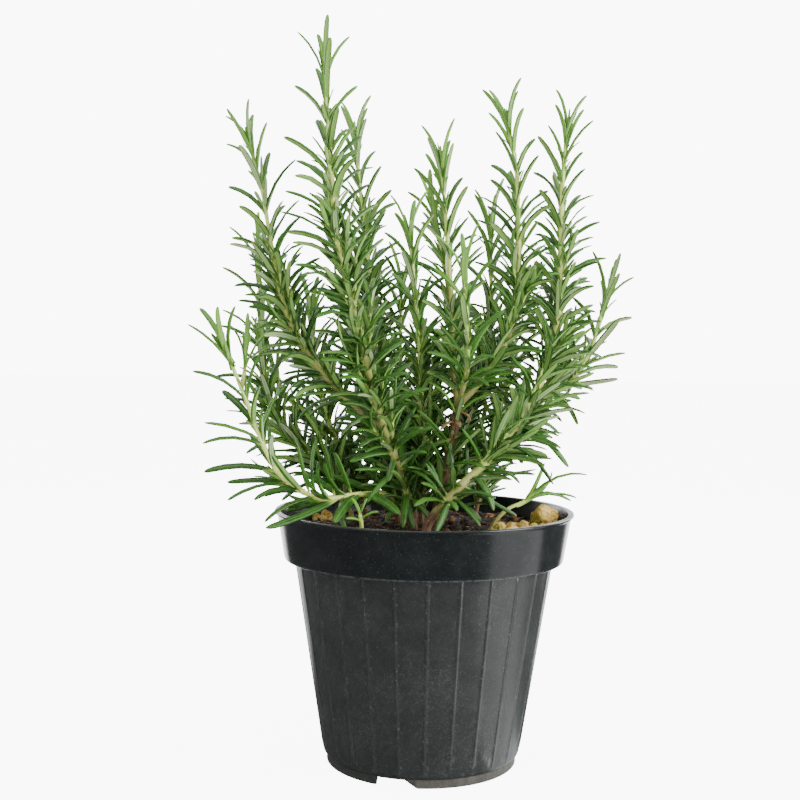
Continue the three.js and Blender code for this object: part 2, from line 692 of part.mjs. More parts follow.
function leafyStems() {
  const shoots = [];
  for (const [node, parts] of Object.entries(STEMS)) {
    for (const shoot of parts) {
      const line = centreLine(shoot.points, shoot.crown ?? CROWN);
      shoots.push({ node, shoot, line, id: shoots.length, main: shoot === parts[0] });
    }
  }
  const bars = [];
  for (const { node, shoot, id, line } of shoots) {
    for (let i = 1; i < line.steps.length; i++) {
      const radius = shootRadius(shoot, line, line.along[i - 1]);
      bars.push(bar(line.steps[i - 1], line.steps[i], radius, node, id));
    }
  }
  const grown = shoots.map(() => []);
  const keep = (path, { node, id }) => {
    grown[id].push(path);
    bars.push(bar(path.root, path.middle, NEEDLE_ROOM, node, id));
    bars.push(bar(path.middle, path.tip, NEEDLE_ROOM, node, id));
  };
  for (const entry of shoots.filter(({ main }) => main)) {
    for (const placed of PLACED_NEEDLES[entry.node] ?? []) keep(placedPath(entry.line, placed), entry);
  }
  for (const entry of shoots) {
    for (const path of growNeedles(entry, bars)) keep(path, entry);
  }
  return Object.keys(STEMS).map((node) => {
    const solids = [];
    for (const { shoot, line, id } of shoots.filter((entry) => entry.node === node)) {
      solids.push(stemSolid(shoot, line), ...grown[id].map(needleSolid));
    }
    return named(node, geometryFrom(mainBody(wasm.Manifold.union(solids))), "foliage");
  });
}

const rosemary = new THREE.Group();
rosemary.add(pot(), soil(), ...clods(), ...leafyStems());

export default rosemary;
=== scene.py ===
"""A potted rosemary bush, dressed over its CAD frame.

Sizes are in millimetres and angles in degrees, except where a note says otherwise. Blender gets
metres. +Z is up, -Y is the front, and the origin is under the middle of the pot.
"""

import functools
import itertools
import logging
import math
from collections.abc import Iterable, Sequence
from dataclasses import dataclass, field
from enum import Enum

import bmesh
import bpy
import numpy as np
from mathutils import Matrix, Vector


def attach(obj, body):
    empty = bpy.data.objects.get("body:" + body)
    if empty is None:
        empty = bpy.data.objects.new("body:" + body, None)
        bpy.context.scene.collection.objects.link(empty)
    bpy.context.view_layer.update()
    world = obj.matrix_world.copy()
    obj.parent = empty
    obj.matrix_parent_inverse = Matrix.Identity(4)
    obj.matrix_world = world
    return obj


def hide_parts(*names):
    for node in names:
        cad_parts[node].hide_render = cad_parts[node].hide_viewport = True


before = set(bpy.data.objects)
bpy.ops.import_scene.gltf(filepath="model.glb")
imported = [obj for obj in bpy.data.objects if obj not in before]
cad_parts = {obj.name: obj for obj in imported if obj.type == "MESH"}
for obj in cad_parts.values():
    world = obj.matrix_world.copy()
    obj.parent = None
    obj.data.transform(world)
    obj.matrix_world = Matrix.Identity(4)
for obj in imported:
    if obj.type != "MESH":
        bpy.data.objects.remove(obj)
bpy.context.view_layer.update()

log = logging.getLogger("rosemary")

Array = np.ndarray
Colour = tuple[float, float, float]
Point = tuple[float, float, float]

MM = 0.001
WORD = 0xFFFFFFFF
UP = np.array([0.0, 0.0, 1.0])
REFERENCE = np.array([0.0, 1.0, 0.0])
LIGHT_SIDE = np.array([0.0, -0.5, 0.6])


# Small sums on rows of points


def unit(rows: Array) -> Array:
    """Scales each row to a length of one.

    Args:
        rows: one vector, or one for each row.

    Returns:
        The same directions with a length of one.
    """
    return rows / np.maximum(np.linalg.norm(rows, axis=-1, keepdims=True), 1e-12)


def ease(value: Array | float, low: float, high: float) -> Array:
    """Rises smoothly from 0 at low to 1 at high.

    Args:
        value: where to read the step.
        low: the value that gives 0.
        high: the value that gives 1.

    Returns:
        The height of the step at each value.
    """
    share = np.clip((np.asarray(value, float) - low) / (high - low), 0.0, 1.0)
    return share * share * (3.0 - 2.0 * share)


def lattice_noise(points: Array, seed: int) -> Array:
    """Reads smooth noise with one lump for each unit of length.

    Args:
        points: one row for each place.
        seed: picks the pattern.

    Returns:
        A value from -1 to 1 for each place.
    """
    cell = np.floor(points).astype(np.int64)
    part = points - cell
    part = part * part * (3.0 - 2.0 * part)
    total = np.zeros(len(points))
    for corner in itertools.product((0, 1), repeat=3):
        step = np.array(corner)
        x, y, z = (cell + step).T
        key = (x * 73856093) ^ (y * 19349663) ^ (z * 83492791) ^ (seed * 2654435761)
        key = ((key ^ (key >> 13)) * 1274126177) & WORD
        key = ((key ^ (key >> 16)) * 2246822519) & WORD
        weight = np.prod(np.where(step == 1, part, 1.0 - part), axis=1)
        total += weight * ((key & 0xFFFF) / 32767.5 - 1.0)
    return total


def rough_noise(points: Array, size: float, seed: int, layers: int = 4) -> Array:
    """Adds up noise of ever finer lumps.

    Args:
        points: one row for each place.
        size: the size of the largest lumps.
        seed: picks the pattern.
        layers: how many times the lumps are halved.

    Returns:
        A value from about -1 to 1 for each place.
    """
    total = np.zeros(len(points))
    for layer in range(layers):
        total += 0.5**layer * lattice_noise(points * (2.0**layer / size), seed + 31 * layer)
    return total / 1.6


class Dice:
    """Evenly spread numbers, the same on every run and the same as in the part's source."""

    def __init__(self, seed: int) -> None:
        """Starts the row of numbers that belongs to the seed."""
        self.state = seed & WORD

    def roll(self) -> float:
        """Returns the next number from 0 to 1."""
        self.state = (self.state + 0x6D2B79F5) & WORD
        mixed = (self.state ^ (self.state >> 15)) * (self.state | 1) & WORD
        mixed ^= (mixed + ((mixed ^ (mixed >> 7)) * (mixed | 61) & WORD)) & WORD
        return (mixed ^ (mixed >> 14)) / 2.0**32

    def spread(self, width: float) -> float:
        """Returns a number in a band of this width around 0."""
        return width * (self.roll() - 0.5)

    def between(self, low: float, high: float) -> float:
        """Returns a number from low to high."""
        return low + (high - low) * self.roll()


# Surfaces in the making


@dataclass
class Skin:
    """A surface before it is handed to Blender.

    Attributes:
        points: one row for each point.
        faces: rows of corners, each group with the finish that its faces take.
        values: named rows of three numbers for each point, which the finishes read.
    """

    points: Array
    faces: list[tuple[Array, int]]
    values: dict[str, Array] = field(default_factory=dict)


def join_skins(skins: Sequence[Skin]) -> Skin:
    """Puts surfaces together in one, with the values that any of them has.

    Args:
        skins: the surfaces.

    Returns:
        One surface that holds them all.
    """
    names = sorted({name for skin in skins for name in skin.values})
    values = {
        name: np.concatenate(
            [skin.values.get(name, np.zeros((len(skin.points), 3))) for skin in skins]
        )
        for name in names
    }
    faces = []
    start = 0
    for skin in skins:
        faces += [(corners + start, finish) for corners, finish in skin.faces]
        start += len(skin.points)
    return Skin(np.concatenate([skin.points for skin in skins]), faces, values)


def make_object(
    name: str, skin: Skin, finishes: Sequence[bpy.types.Material], smooth: bool = True
) -> bpy.types.Object:
    """Hands a surface to Blender.

    Args:
        name: the piece's name.
        skin: its surface.
        finishes: its materials, in the order that the faces name them.
        smooth: whether its faces are shaded smoothly.

    Returns:
        The new object, linked to the scene.
    """
    groups = [(corners, finish) for corners, finish in skin.faces if len(corners)]
    sizes = np.concatenate([np.full(len(c), c.shape[1]) for c, _ in groups])
    corners = np.concatenate([c.ravel() for c, _ in groups]).astype(np.int32)
    mesh = bpy.data.meshes.new(name)
    mesh.vertices.add(len(skin.points))
    mesh.vertices.foreach_set("co", (skin.points * MM).astype(np.float32).ravel())
    mesh.loops.add(len(corners))
    mesh.loops.foreach_set("vertex_index", corners)
    mesh.polygons.add(len(sizes))
    starts = np.concatenate([[0], np.cumsum(sizes)[:-1]])
    mesh.polygons.foreach_set("loop_start", starts.astype(np.int32))
    slots = np.concatenate([np.full(len(c), finish) for c, finish in groups])
    mesh.update(calc_edges=True)
    for finish in finishes:
        mesh.materials.append(finish)
    mesh.polygons.foreach_set("material_index", slots.astype(np.int32))
    mesh.polygons.foreach_set("use_smooth", np.full(len(sizes), smooth))
    for key, rows in skin.values.items():
        attribute = mesh.attributes.new(key, "FLOAT_VECTOR", "POINT")
        attribute.data.foreach_set("vector", rows.astype(np.float32).ravel())
    mesh.update()
    piece = bpy.data.objects.new(name, mesh)
    bpy.context.scene.collection.objects.link(piece)
    return piece


def ring_faces(rings: int, sides: int, closed: bool = True) -> Array:
    """Numbers the four-cornered faces between rings of points.

    Args:
        rings: how many rings there are.
        sides: how many points each ring has.
        closed: whether the last point of a ring meets the first.

    Returns:
        One row of four corners for each face.
    """
    side = np.arange(sides if closed else sides - 1)
    after = (side + 1) % sides
    first = np.stack([side, after, after + sides, side + sides], axis=1)
    return (first[None] + sides * np.arange(rings - 1)[:, None, None]).reshape(-1, 4)


def cap_faces(start: int, sides: int, flip: bool) -> Array:
    """Closes a ring with a fan of triangles.

    Args:
        start: the number of the ring's first point.
        sides: how many points the ring has.
        flip: whether the fan faces the other way.

    Returns:
        One row of three corners for each face.
    """
    side = np.arange(1, sides - 1)
    fan = np.stack([np.zeros_like(side), side, side + 1], axis=1) + start
    return fan[:, ::-1] if flip else fan


def tube_faces(rings: int, sides: int, finish: int = 0) -> list[tuple[Array, int]]:
    """Numbers the faces of a tube that is closed at both ends.

    Args:
        rings: how many rings of points it has.
        sides: how many points each ring has.
        finish: the finish that its faces take.

    Returns:
        Its faces in groups.
    """
    ends = (cap_faces(0, sides, True), cap_faces((rings - 1) * sides, sides, False))
    return [(corners, finish) for corners in (ring_faces(rings, sides), *ends)]


def circle(sides: int) -> Array:
    """Returns points around a circle with a radius of one, one row each."""
    angle = 2 * np.pi * np.arange(sides) / sides
    return np.stack([np.cos(angle), np.sin(angle)], axis=1)


def turned(rows: Array, angle: float) -> Array:
    """Turns points about the upright axis.

    Args:
        rows: the points.
        angle: how far, in radians.

    Returns:
        The turned points.
    """
    cosine, sine = math.cos(angle), math.sin(angle)
    return rows @ np.array([[cosine, sine, 0.0], [-sine, cosine, 0.0], [0.0, 0.0, 1.0]])


def spin_rows(rows: Array, axis: Array, angle: Array) -> Array:
    """Turns each row about its own axis.

    Args:
        rows: the vectors to turn.
        axis: their axes, each with a length of one.
        angle: how far, in radians.

    Returns:
        The turned vectors.
    """
    cosine = np.cos(angle)[..., None]
    sine = np.sin(angle)[..., None]
    along = np.sum(rows * axis, axis=-1, keepdims=True)
    return rows * cosine + np.cross(axis, rows) * sine + axis * along * (1.0 - cosine)


def unit_lump(detail: int) -> tuple[Array, Array]:
    """Makes the even, three-cornered mesh that clods and crumbs are shaped from.

    Args:
        detail: how many times the faces are split.

    Returns:
        The points, at a distance of one from the middle, and the corners of the faces.
    """
    work = bmesh.new()
    bmesh.ops.create_icosphere(work, subdivisions=detail, radius=1.0)
    work.verts.ensure_lookup_table()
    points = np.array([vertex.co[:] for vertex in work.verts])
    corners = np.array([[vertex.index for vertex in face.verts] for face in work.faces])
    work.free()
    return points, corners


# Shader nodes


class Value:
    """A value that a node gives, which can be reckoned with like a number."""

    def __init__(self, bench: "Bench", socket: bpy.types.NodeSocket) -> None:
        """Keeps the socket, and the bench that its node stands on."""
        self.bench = bench
        self.socket = socket

    def __add__(self, other: "Value | float") -> "Value":
        """Adds another value or a number."""
        return self.bench.sum("ADD", self, other)

    def __sub__(self, other: float) -> "Value":
        """Takes a number away."""
        return self.bench.sum("ADD", self, -other)

    def __mul__(self, other: "Value | float") -> "Value":
        """Multiplies by another value or a number."""
        return self.bench.sum("MULTIPLY", self, other)

    def __abs__(self) -> "Value":
        """Drops the sign."""
        return self.bench.sum("ABSOLUTE", self)

    def band(self, low: float, high: float, start: float = 0.0, end: float = 1.0) -> "Value":
        """Maps the value smoothly from one range to another.

        Args:
            low: where the range begins.
            high: where it ends.
            start: the result at low.
            end: the result at high.

        Returns:
            The mapped value.
        """
        feeds = {0: self, 1: low, 2: high, 3: start, 4: end}
        return self.bench.read("ShaderNodeMapRange", 0, feeds, interpolation_type="SMOOTHSTEP")


class Bench:
    """Places and joins the nodes of one tree."""

    def __init__(self, tree: bpy.types.NodeTree) -> None:
        """Keeps the tree that the nodes go into."""
        self.tree = tree

    def node(self, kind: str, **settings: object) -> bpy.types.Node:
        """Adds a node.

        Args:
            kind: its Blender type.
            settings: its properties by name.

        Returns:
            The new node.
        """
        node = self.tree.nodes.new(kind)
        for name, value in settings.items():
            setattr(node, name, value)
        return node

    def feed(self, socket: bpy.types.NodeSocket, value: object) -> None:
        """Joins a socket to another one, or sets its own value.

        Args:
            socket: the input.
            value: a value, an output socket, a number, or the parts of a vector or colour.
        """
        source = value.socket if isinstance(value, Value) else value
        if isinstance(source, bpy.types.NodeSocket):
            self.tree.links.new(source, socket)
        elif isinstance(source, tuple) and socket.type == "RGBA":
            socket.default_value = (*source, 1.0)
        else:
            socket.default_value = source

    def read(
        self, kind: str, output: int | str, feeds: dict[int | str, object] | None = None, **settings: object
    ) -> Value:
        """Adds a node and reads one of its outputs.

        Args:
            kind: its Blender type.
            output: the output.
            feeds: what its inputs are fed with.
            settings: its properties by name.

        Returns:
            The output's value.
        """
        node = self.node(kind, **settings)
        for key, value in (feeds or {}).items():
            self.feed(node.inputs[key], value)
        return Value(self, node.outputs[output])

    def sum(self, kind: str, first: object, second: object = 0.0) -> Value:
        """Works out a sum of the kind that Blender names."""
        return self.read("ShaderNodeMath", 0, {0: first, 1: second}, operation=kind)

    def blend(self, share: object, first: object, second: object) -> Value:
        """Mixes two colours: the first at a share of 0, the second at 1."""
        return self.read("ShaderNodeMix", 2, {0: share, 6: first, 7: second}, data_type="RGBA")

    def noise(self, place: Value, scale: object, detail: float = 3.0, rough: float = 0.55) -> Value:
        """Reads noise around 0.5, with finer layers of detail, as strong as it is rough."""
        feeds = {"Vector": place, "Scale": scale, "Detail": detail, "Roughness": rough}
        return self.read("ShaderNodeTexNoise", "Fac", feeds)

    def place(self) -> Value:
        """Returns the place on the object, in metres."""
        return self.read("ShaderNodeTexCoord", "Object")

    def value(self, name: str) -> Value:
        """Returns the named row of three numbers that a skin keeps on its points."""
        return self.read("ShaderNodeAttribute", "Vector", attribute_name=name)

    def parts(self, vector: object) -> tuple[Value, ...]:
        """Splits a vector in its three parts."""
        node = self.read("ShaderNodeSeparateXYZ", 0, {0: vector}).socket.node
        return tuple(Value(self, output) for output in node.outputs)

    def stretched(self, vector: Value, scale: Point) -> Value:
        """Scales a vector by its three parts."""
        return self.read("ShaderNodeVectorMath", 0, {0: vector, 1: scale}, operation="MULTIPLY")

    def bump(self, height: Value, strength: float, depth: float) -> Value:
        """Turns a height into a normal, where a height of one is a depth in millimetres."""
        feeds = {"Strength": strength, "Distance": depth * MM, "Height": height}
        return self.read("ShaderNodeBump", "Normal", feeds)

    def effect(
        self, group: bpy.types.NodeTree, place: Value, scale: float, **inputs: object
    ) -> tuple[Value, ...]:
        """Places a shared effect.

        Args:
            group: its node group.
            place: where it is read.
            scale: how fine it is.
            inputs: its other inputs by name.

        Returns:
            Its outputs.
        """
        node = self.node("ShaderNodeGroup", node_tree=group)
        for name, value in {"Place": place, "Scale": scale, **inputs}.items():
            self.feed(node.inputs[name], value)
        return tuple(Value(self, output) for output in node.outputs)

    def shade(self, colour: Value, rough: Value, normal: Value) -> None:
        """Feeds the shader.

        Args:
            colour: its colour.
            rough: its roughness.
            normal: its relief.
        """
        inputs = self.tree.nodes["Principled BSDF"].inputs
        for name, value in (("Base Color", colour), ("Roughness", rough), ("Normal", normal)):
            self.feed(inputs[name], value)


class Socket(Enum):
    """The kinds of sockets that the shared effects have."""

    NUMBER = "NodeSocketFloat"
    COLOUR = "NodeSocketColor"
    VECTOR = "NodeSocketVector"


class Effects:
    """The effects that several finishes share, each built once as a node group."""

    def __init__(self) -> None:
        """Builds the groups."""
        self.mottling = self._mottling()
        self.grain = self._grain()
        self.specks = self._specks()
        self.dust = self._dust()

    @staticmethod
    def _start(name: str, **inputs: Socket) -> tuple[Bench, list[Value]]:
        """Opens a node group that reads a place and a scale.

        Args:
            name: the group's name.
            inputs: the kinds of its other inputs by name.

        Returns:
            A bench on the group, and its inputs.
        """
        bench = Bench(bpy.data.node_groups.new(name, "ShaderNodeTree"))
        for label, kind in {"Place": Socket.VECTOR, "Scale": Socket.NUMBER, **inputs}.items():
            bench.tree.interface.new_socket(name=label, in_out="INPUT", socket_type=kind.value)
        outputs = bench.node("NodeGroupInput").outputs
        return bench, [Value(bench, output) for output in list(outputs)[: 2 + len(inputs)]]

    @staticmethod
    def _end(bench: Bench, **outputs: Value) -> bpy.types.NodeTree:
        """Closes a node group.

        Args:
            bench: the bench on it.
            outputs: its outputs by name.

        Returns:
            The group.
        """
        for label, value in outputs.items():
            kind = Socket.COLOUR if label == "Colour" else Socket.NUMBER
            bench.tree.interface.new_socket(name=label, in_out="OUTPUT", socket_type=kind.value)
        result = bench.node("NodeGroupOutput")
        for label, value in outputs.items():
            bench.feed(result.inputs[label], value)
        return bench.tree

    def _mottling(self) -> bpy.types.NodeTree:
        """Builds soft patches of three colours.

        Returns:
            The group. Its outputs are the colour, and the share that picks it.
        """
        tints = {label: Socket.COLOUR for label in ("Dark", "Middle", "Light")}
        bench, (place, scale, dark, middle, light) = self._start("colour_mottling", **tints)
        wide = bench.noise(place, scale, 4.0)
        share = wide * 0.7 + bench.noise(place, scale * 5.3) * 0.3
        lower = bench.blend(share.band(0.34, 0.5), dark, middle)
        colour = bench.blend(share.band(0.5, 0.66), lower, light)
        return self._end(bench, Colour=colour, Share=share)

    def _grain(self) -> bpy.types.NodeTree:
        """Builds a fine relief."""
        bench, (place, scale) = self._start("fine_grain")
        return self._end(bench, Height=bench.noise(place, scale, 5.0, 0.65))

    def _specks(self) -> bpy.types.NodeTree:
        """Builds scattered specks.

        Returns:
            The group. Its output is 1 on a speck.
        """
        bench, (place, scale, size, share) = self._start(
            "scattered_specks", Size=Socket.NUMBER, Share=Socket.NUMBER
        )
        cells = bench.read("ShaderNodeTexVoronoi", "Color", {"Vector": place, "Scale": scale})
        own, wide, _ = bench.parts(cells)
        distance = cells.socket.node.outputs["Distance"]
        near = bench.sum("LESS_THAN", distance, size * (wide + 0.3))
        return self._end(bench, Mask=bench.sum("LESS_THAN", own, share) * near)

    def _dust(self) -> bpy.types.NodeTree:
        """Builds settled dust.

        Returns:
            The group. Its output is how much dust there is, more of it on top.
        """
        bench, (place, scale, amount) = self._start("settled_dust", Amount=Socket.NUMBER)
        normal = bench.read("ShaderNodeNewGeometry", "Normal")
        upward = bench.parts(normal)[2].band(-0.3, 1.0, 0.35, 1.0)
        patches = bench.noise(place, scale, 6.0, 0.7).band(0.38, 0.72)
        return self._end(bench, Mask=amount * patches * upward)


def new_material(name: str) -> tuple[bpy.types.Material, Bench]:
    """Opens a material with one Principled BSDF.

    Args:
        name: the material's name.

    Returns:
        The material, and a bench on its nodes.
    """
    material = bpy.data.materials.new(name)
    material.use_nodes = True
    return material, Bench(material.node_tree)


# Finishes


@dataclass(frozen=True)
class PotPlastic:
    """Near-black moulded plastic with a dusty film, pale rib crests and chalky water marks.

    Attributes:
        dark: its darkest patches.
        middle: its usual colour.
        light: its greyest patches.
        clean: its colour on the collar, which hands keep free of dust.
        film: the colour of dust and scuffs.
        chalk: the colour of dried hard water.
        mud: the colour of the dirt on the foot ring.
        collar_from: where the smooth collar begins, in metres above the floor.
    """

    dark: Colour = (0.0165, 0.0195, 0.0182)
    middle: Colour = (0.0185, 0.0218, 0.0206)
    light: Colour = (0.022, 0.0258, 0.0245)
    clean: Colour = (0.0055, 0.0075, 0.0078)
    film: Colour = (0.152, 0.17, 0.165)
    chalk: Colour = (0.42, 0.45, 0.44)
    mud: Colour = (0.1, 0.094, 0.075)
    collar_from: float = 0.0955

    def material(self, effects: Effects) -> bpy.types.Material:
        """Builds the material.

        Args:
            effects: the shared effects.

        Returns:
            The material.
        """
        material, bench = new_material("pot_plastic")
        place = bench.place()
        by_rib, low, ring = bench.parts(bench.value("pot_wear"))
        height = bench.parts(place)[2]
        edge = self.collar_from
        collar = height.band(edge - 0.0005, edge + 0.0005)
        colour, share = bench.effect(
            effects.mottling, place, 34.0, Dark=self.dark, Middle=self.middle, Light=self.light
        )
        (dust,) = bench.effect(effects.dust, place, 90.0, Amount=0.1)
        (specks,) = bench.effect(effects.specks, place, 1100.0, Size=0.24, Share=0.3)
        squeezed = bench.stretched(place, (1.0, 1.0, 1.7))
        (lint,) = bench.effect(effects.specks, squeezed, 430.0, Size=0.16, Share=0.16)
        colour = bench.blend(collar * 0.92, colour, self.clean)
        faint = (collar * -0.4 + 1.0) * 0.2
        for mask in (specks * faint, lint * faint * 1.4, dust):
            colour = bench.blend(mask, colour, self.film)
        scuffs = bench.noise(bench.stretched(place, (1.0, 1.0, 0.6)), 520.0, 4.0, 0.7)
        worn = by_rib.band(0.75, 1.0) * scuffs.band(0.36, 0.64, 0.01, 0.11)
        patches = bench.noise(place, 32.0, 2.0).band(0.42, 0.62, 0.1, 0.22)
        powder = bench.noise(place, 1250.0, 2.0, 0.7).band(0.5, 0.68) * patches
        (dots,) = bench.effect(effects.specks, place, 720.0, Size=0.3, Share=0.4)
        settled = bench.sum("MAXIMUM", worn + dots * by_rib.band(0.0, 1.0, 0.0, 0.32), powder)
        colour = bench.blend(settled * (collar * -0.92 + 1.0), colour, self.film)
        rim_line = height.band(edge - 0.0002, edge + 0.0001)
        rim_line = rim_line * height.band(edge + 0.0006, edge + 0.0012, 1.0, 0.0)
        colour = bench.blend(rim_line * scuffs.band(0.35, 0.6, 0.05, 0.3), colour, self.film)
        marks = bench.noise(bench.stretched(place, (1.0, 1.0, 0.4)), 260.0, 6.0, 0.7)
        chalky = marks.band(0.54, 0.8) * low
        colour = bench.blend(chalky * 0.4, colour, self.chalk)
        colour = bench.blend(ring * marks.band(0.36, 0.62, 0.4, 0.75), colour, self.mud)
        rough = share * 0.16 + dust * 0.9 + 0.25 + (chalky + ring) * 0.4 + collar * -0.16
        (grain,) = bench.effect(effects.grain, place, 900.0)
        relief = grain * 0.1 + bench.noise(place, 45.0, 2.0) * 0.55
        bench.shade(colour, rough, bench.bump(relief, 0.3, 0.16))
        return material


@dataclass(frozen=True)
class SoilFinish:
    """Peat crumbs, from near black to red brown, with tone kept on each crumb.

    Attributes:
        dark: wet peat, also blended into the hollows as painted shade.
        middle: dry peat.
        light: root scraps.
        bark: bark scraps.
    """

    dark: Colour = (0.009, 0.0055, 0.004)
    middle: Colour = (0.03, 0.0165, 0.0095)
    light: Colour = (0.085, 0.045, 0.022)
    bark: Colour = (0.3, 0.13, 0.045)

    def material(self, effects: Effects) -> bpy.types.Material:
        """Builds the material.

        Args:
            effects: the shared effects.

        Returns:
            The material.
        """
        material, bench = new_material("peat_soil")
        place = bench.place()
        tone, hollow_shade, _ = bench.parts(bench.value("soil_tone"))
        colour, share = bench.effect(
            effects.mottling, place, 420.0, Dark=self.dark, Middle=self.middle, Light=self.light
        )
        colour = bench.blend(tone.band(0.5, 1.0), colour, self.bark)
        # Painted shade: the soil is darkened where its top lies below its broad waves.
        colour = bench.blend(hollow_shade * 0.75, colour, self.dark)
        (specks,) = bench.effect(effects.specks, place, 900.0, Size=0.3, Share=0.1)
        colour = bench.blend(specks * 0.5, colour, self.bark)
        (grain,) = bench.effect(effects.grain, place, 1100.0)
        bench.shade(colour, share.band(0.3, 0.7, 0.75, 0.98), bench.bump(grain, 0.8, 0.6))
        return material


@dataclass(frozen=True)
class ClayFinish:
    """Dry ochre clay with painted shade in its cracks and pits, pale dust and a patch of moss.

    Attributes:
        dark: the clay's darkest patches and specks, and the painted shade in its cracks and pits.
        middle: its usual colour.
        light: its rubbed edges.
        moss: the moss that grows on its damp side.
    """

    dark: Colour = (0.36, 0.17, 0.035)
    middle: Colour = (0.92, 0.6, 0.13)
    light: Colour = (0.98, 0.8, 0.32)
    moss: Colour = (0.24, 0.235, 0.03)

    def material(self, effects: Effects) -> bpy.types.Material:
        """Builds the material.

        Args:
            effects: the shared effects.

        Returns:
            The material.
        """
        material, bench = new_material("ochre_clay")
        place = bench.place()
        pit_shade, mossy, pale = bench.parts(bench.value("clay_tone"))
        colour, share = bench.effect(
            effects.mottling, place, 210.0, Dark=self.dark, Middle=self.middle, Light=self.light
        )
        # Painted shade: the clay is darkened in its cracks and pits, less on its lumps; crumbs carry a
        # small random darkening here.
        colour = bench.blend(pit_shade * 0.8, colour, self.dark)
        (dust,) = bench.effect(effects.dust, place, 300.0, Amount=0.5)
        colour = bench.blend(dust * 0.6 + pale, colour, self.light)
        (specks,) = bench.effect(effects.specks, place, 800.0, Size=0.3, Share=0.14)
        colour = bench.blend(specks * 0.6, colour, self.dark)
        tufts = bench.noise(place, 900.0, 4.0).band(0.32, 0.5)
        colour = bench.blend(mossy * tufts, colour, self.moss)
        (grain,) = bench.effect(effects.grain, place, 800.0)
        bench.shade(colour, share.band(0.3, 0.7, 0.8, 0.98), bench.bump(grain, 0.7, 0.8))
        return material


@dataclass(frozen=True)
class LeafFinish:
    """Glossy dark green above and pale felt below, lighter and greyer when young, tan when dry.

    Attributes:
        old: the top of a full-grown leaf.
        deep: the same, in a shaded or older leaf.
        young: the top of a young leaf.
        vein: the line along the middle of the top.
        base: where the leaf clasps the stem.
        felt: the underside.
        white_felt: the underside of a leaf with dense felt.
        dry: a dead leaf.
        gloss: how strongly the leaf mirrors.
    """

    old: Colour = (0.052, 0.165, 0.02)
    deep: Colour = (0.018, 0.066, 0.009)
    young: Colour = (0.17, 0.41, 0.045)
    vein: Colour = (0.16, 0.34, 0.06)
    base: Colour = (0.62, 0.8, 0.2)
    felt: Colour = (0.23, 0.4, 0.09)
    white_felt: Colour = (0.6, 0.68, 0.42)
    dry: Colour = (0.32, 0.19, 0.08)
    gloss: float = 0.33

    def material(self, effects: Effects) -> bpy.types.Material:
        """Builds the material.

        Args:
            effects: the shared effects.

        Returns:
            The material.
        """
        material, bench = new_material("rosemary_leaf")
        shader = material.node_tree.nodes["Principled BSDF"]
        shader.inputs["Specular IOR Level"].default_value = self.gloss
        blade = bench.value("blade")
        across, along, felt = bench.parts(blade)
        age, tone, pale = bench.parts(bench.value("growth"))
        place = bench.place()
        top, share = bench.effect(
            effects.mottling, place, 130.0, Dark=self.deep, Middle=self.old, Light=self.old
        )
        top = bench.blend(tone * 0.75, top, self.deep)
        fresh = age.band(0.0, 0.75, 1.0, 0.0) * tone.band(0.1, 1.0, 1.0, 0.4)
        side = abs(across)
        top = bench.blend(fresh, top, self.young)
        top = bench.blend(side.band(0.05, 0.2, 0.5, 0.0), top, self.vein)
        fibres = bench.noise(bench.stretched(blade, (2.0, 16.0, 1.0)), 3.0, 4.0)
        below = bench.blend(pale, self.felt, self.white_felt)
        below = bench.blend(fibres.band(0.35, 0.7, 0.0, 0.4), below, self.felt)
        below = bench.blend(side.band(0.08, 0.2, 0.6, 0.0), below, self.vein)
        felted = felt.band(0.25, 0.6)
        colour = bench.blend(felted, top, below)
        colour = bench.blend(along.band(0.02, 0.2, 0.85, 0.0), colour, self.base)
        scorched = along.band(0.94, 1.0) * tone.band(0.6, 0.9, 0.0, 0.6)
        colour = bench.blend(scorched, colour, self.dry)
        colour = bench.blend(age.band(1.3, 1.6), colour, self.dry)
        rough = share.band(0.3, 0.7, 0.3, 0.46) + felted * 0.45
        (grain,) = bench.effect(effects.grain, place, 1500.0)
        ripples = bench.noise(bench.stretched(blade, (1.2, 22.0, 1.0)), 1.5)
        bench.shade(colour, rough, bench.bump(grain * 0.5 + ripples, 0.45, 0.12))
        return material


@dataclass(frozen=True)
class StemFinish:
    """Pale green young stems that turn tan at their joints and brown and woody at their foot.

    Attributes:
        young: near the tip.
        green: the middle of a stem.
        shade: the duller patches of it.
        ripe: where it starts to turn woody.
        joint: where pairs of leaves grow.
        wood: old bark.
        cracks: the lines in old bark.
    """

    young: Colour = (0.7, 0.9, 0.2)
    green: Colour = (0.84, 0.97, 0.24)
    shade: Colour = (0.66, 0.78, 0.17)
    ripe: Colour = (0.33, 0.33, 0.095)
    joint: Colour = (0.42, 0.31, 0.12)
    wood: Colour = (0.2, 0.115, 0.062)
    cracks: Colour = (0.06, 0.028, 0.016)

    def material(self, effects: Effects) -> bpy.types.Material:
        """Builds the material.

        Args:
            effects: the shared effects.

        Returns:
            The material.
        """
        material, bench = new_material("rosemary_stem")
        wood, joint, old = bench.parts(bench.value("bark"))
        lines = bench.value("bark_place")
        place = bench.place()
        colour, _ = bench.effect(
            effects.mottling, place, 160.0, Dark=self.shade, Middle=self.green, Light=self.green
        )
        colour = bench.blend(old.band(0.0, 0.5), self.young, colour)
        colour = bench.blend(wood.band(0.08, 0.42), colour, self.ripe)
        colour = bench.blend(joint * 0.14, colour, self.joint)
        streaks = bench.noise(lines, 2.6, 5.0, 0.6)
        patchy = wood + (streaks - 0.5) * 0.9
        colour = bench.blend(patchy.band(0.42, 0.7), colour, self.wood)
        cracked = streaks.band(0.5, 0.34) * wood.band(0.3, 0.9)
        colour = bench.blend(cracked, colour, self.cracks)
        (grain,) = bench.effect(effects.grain, place, 1300.0)
        normal = bench.bump(grain * 0.3 + streaks, 0.6, 0.35)
        bench.shade(colour, patchy.band(0.0, 1.0, 0.45, 0.9), normal)
        return material


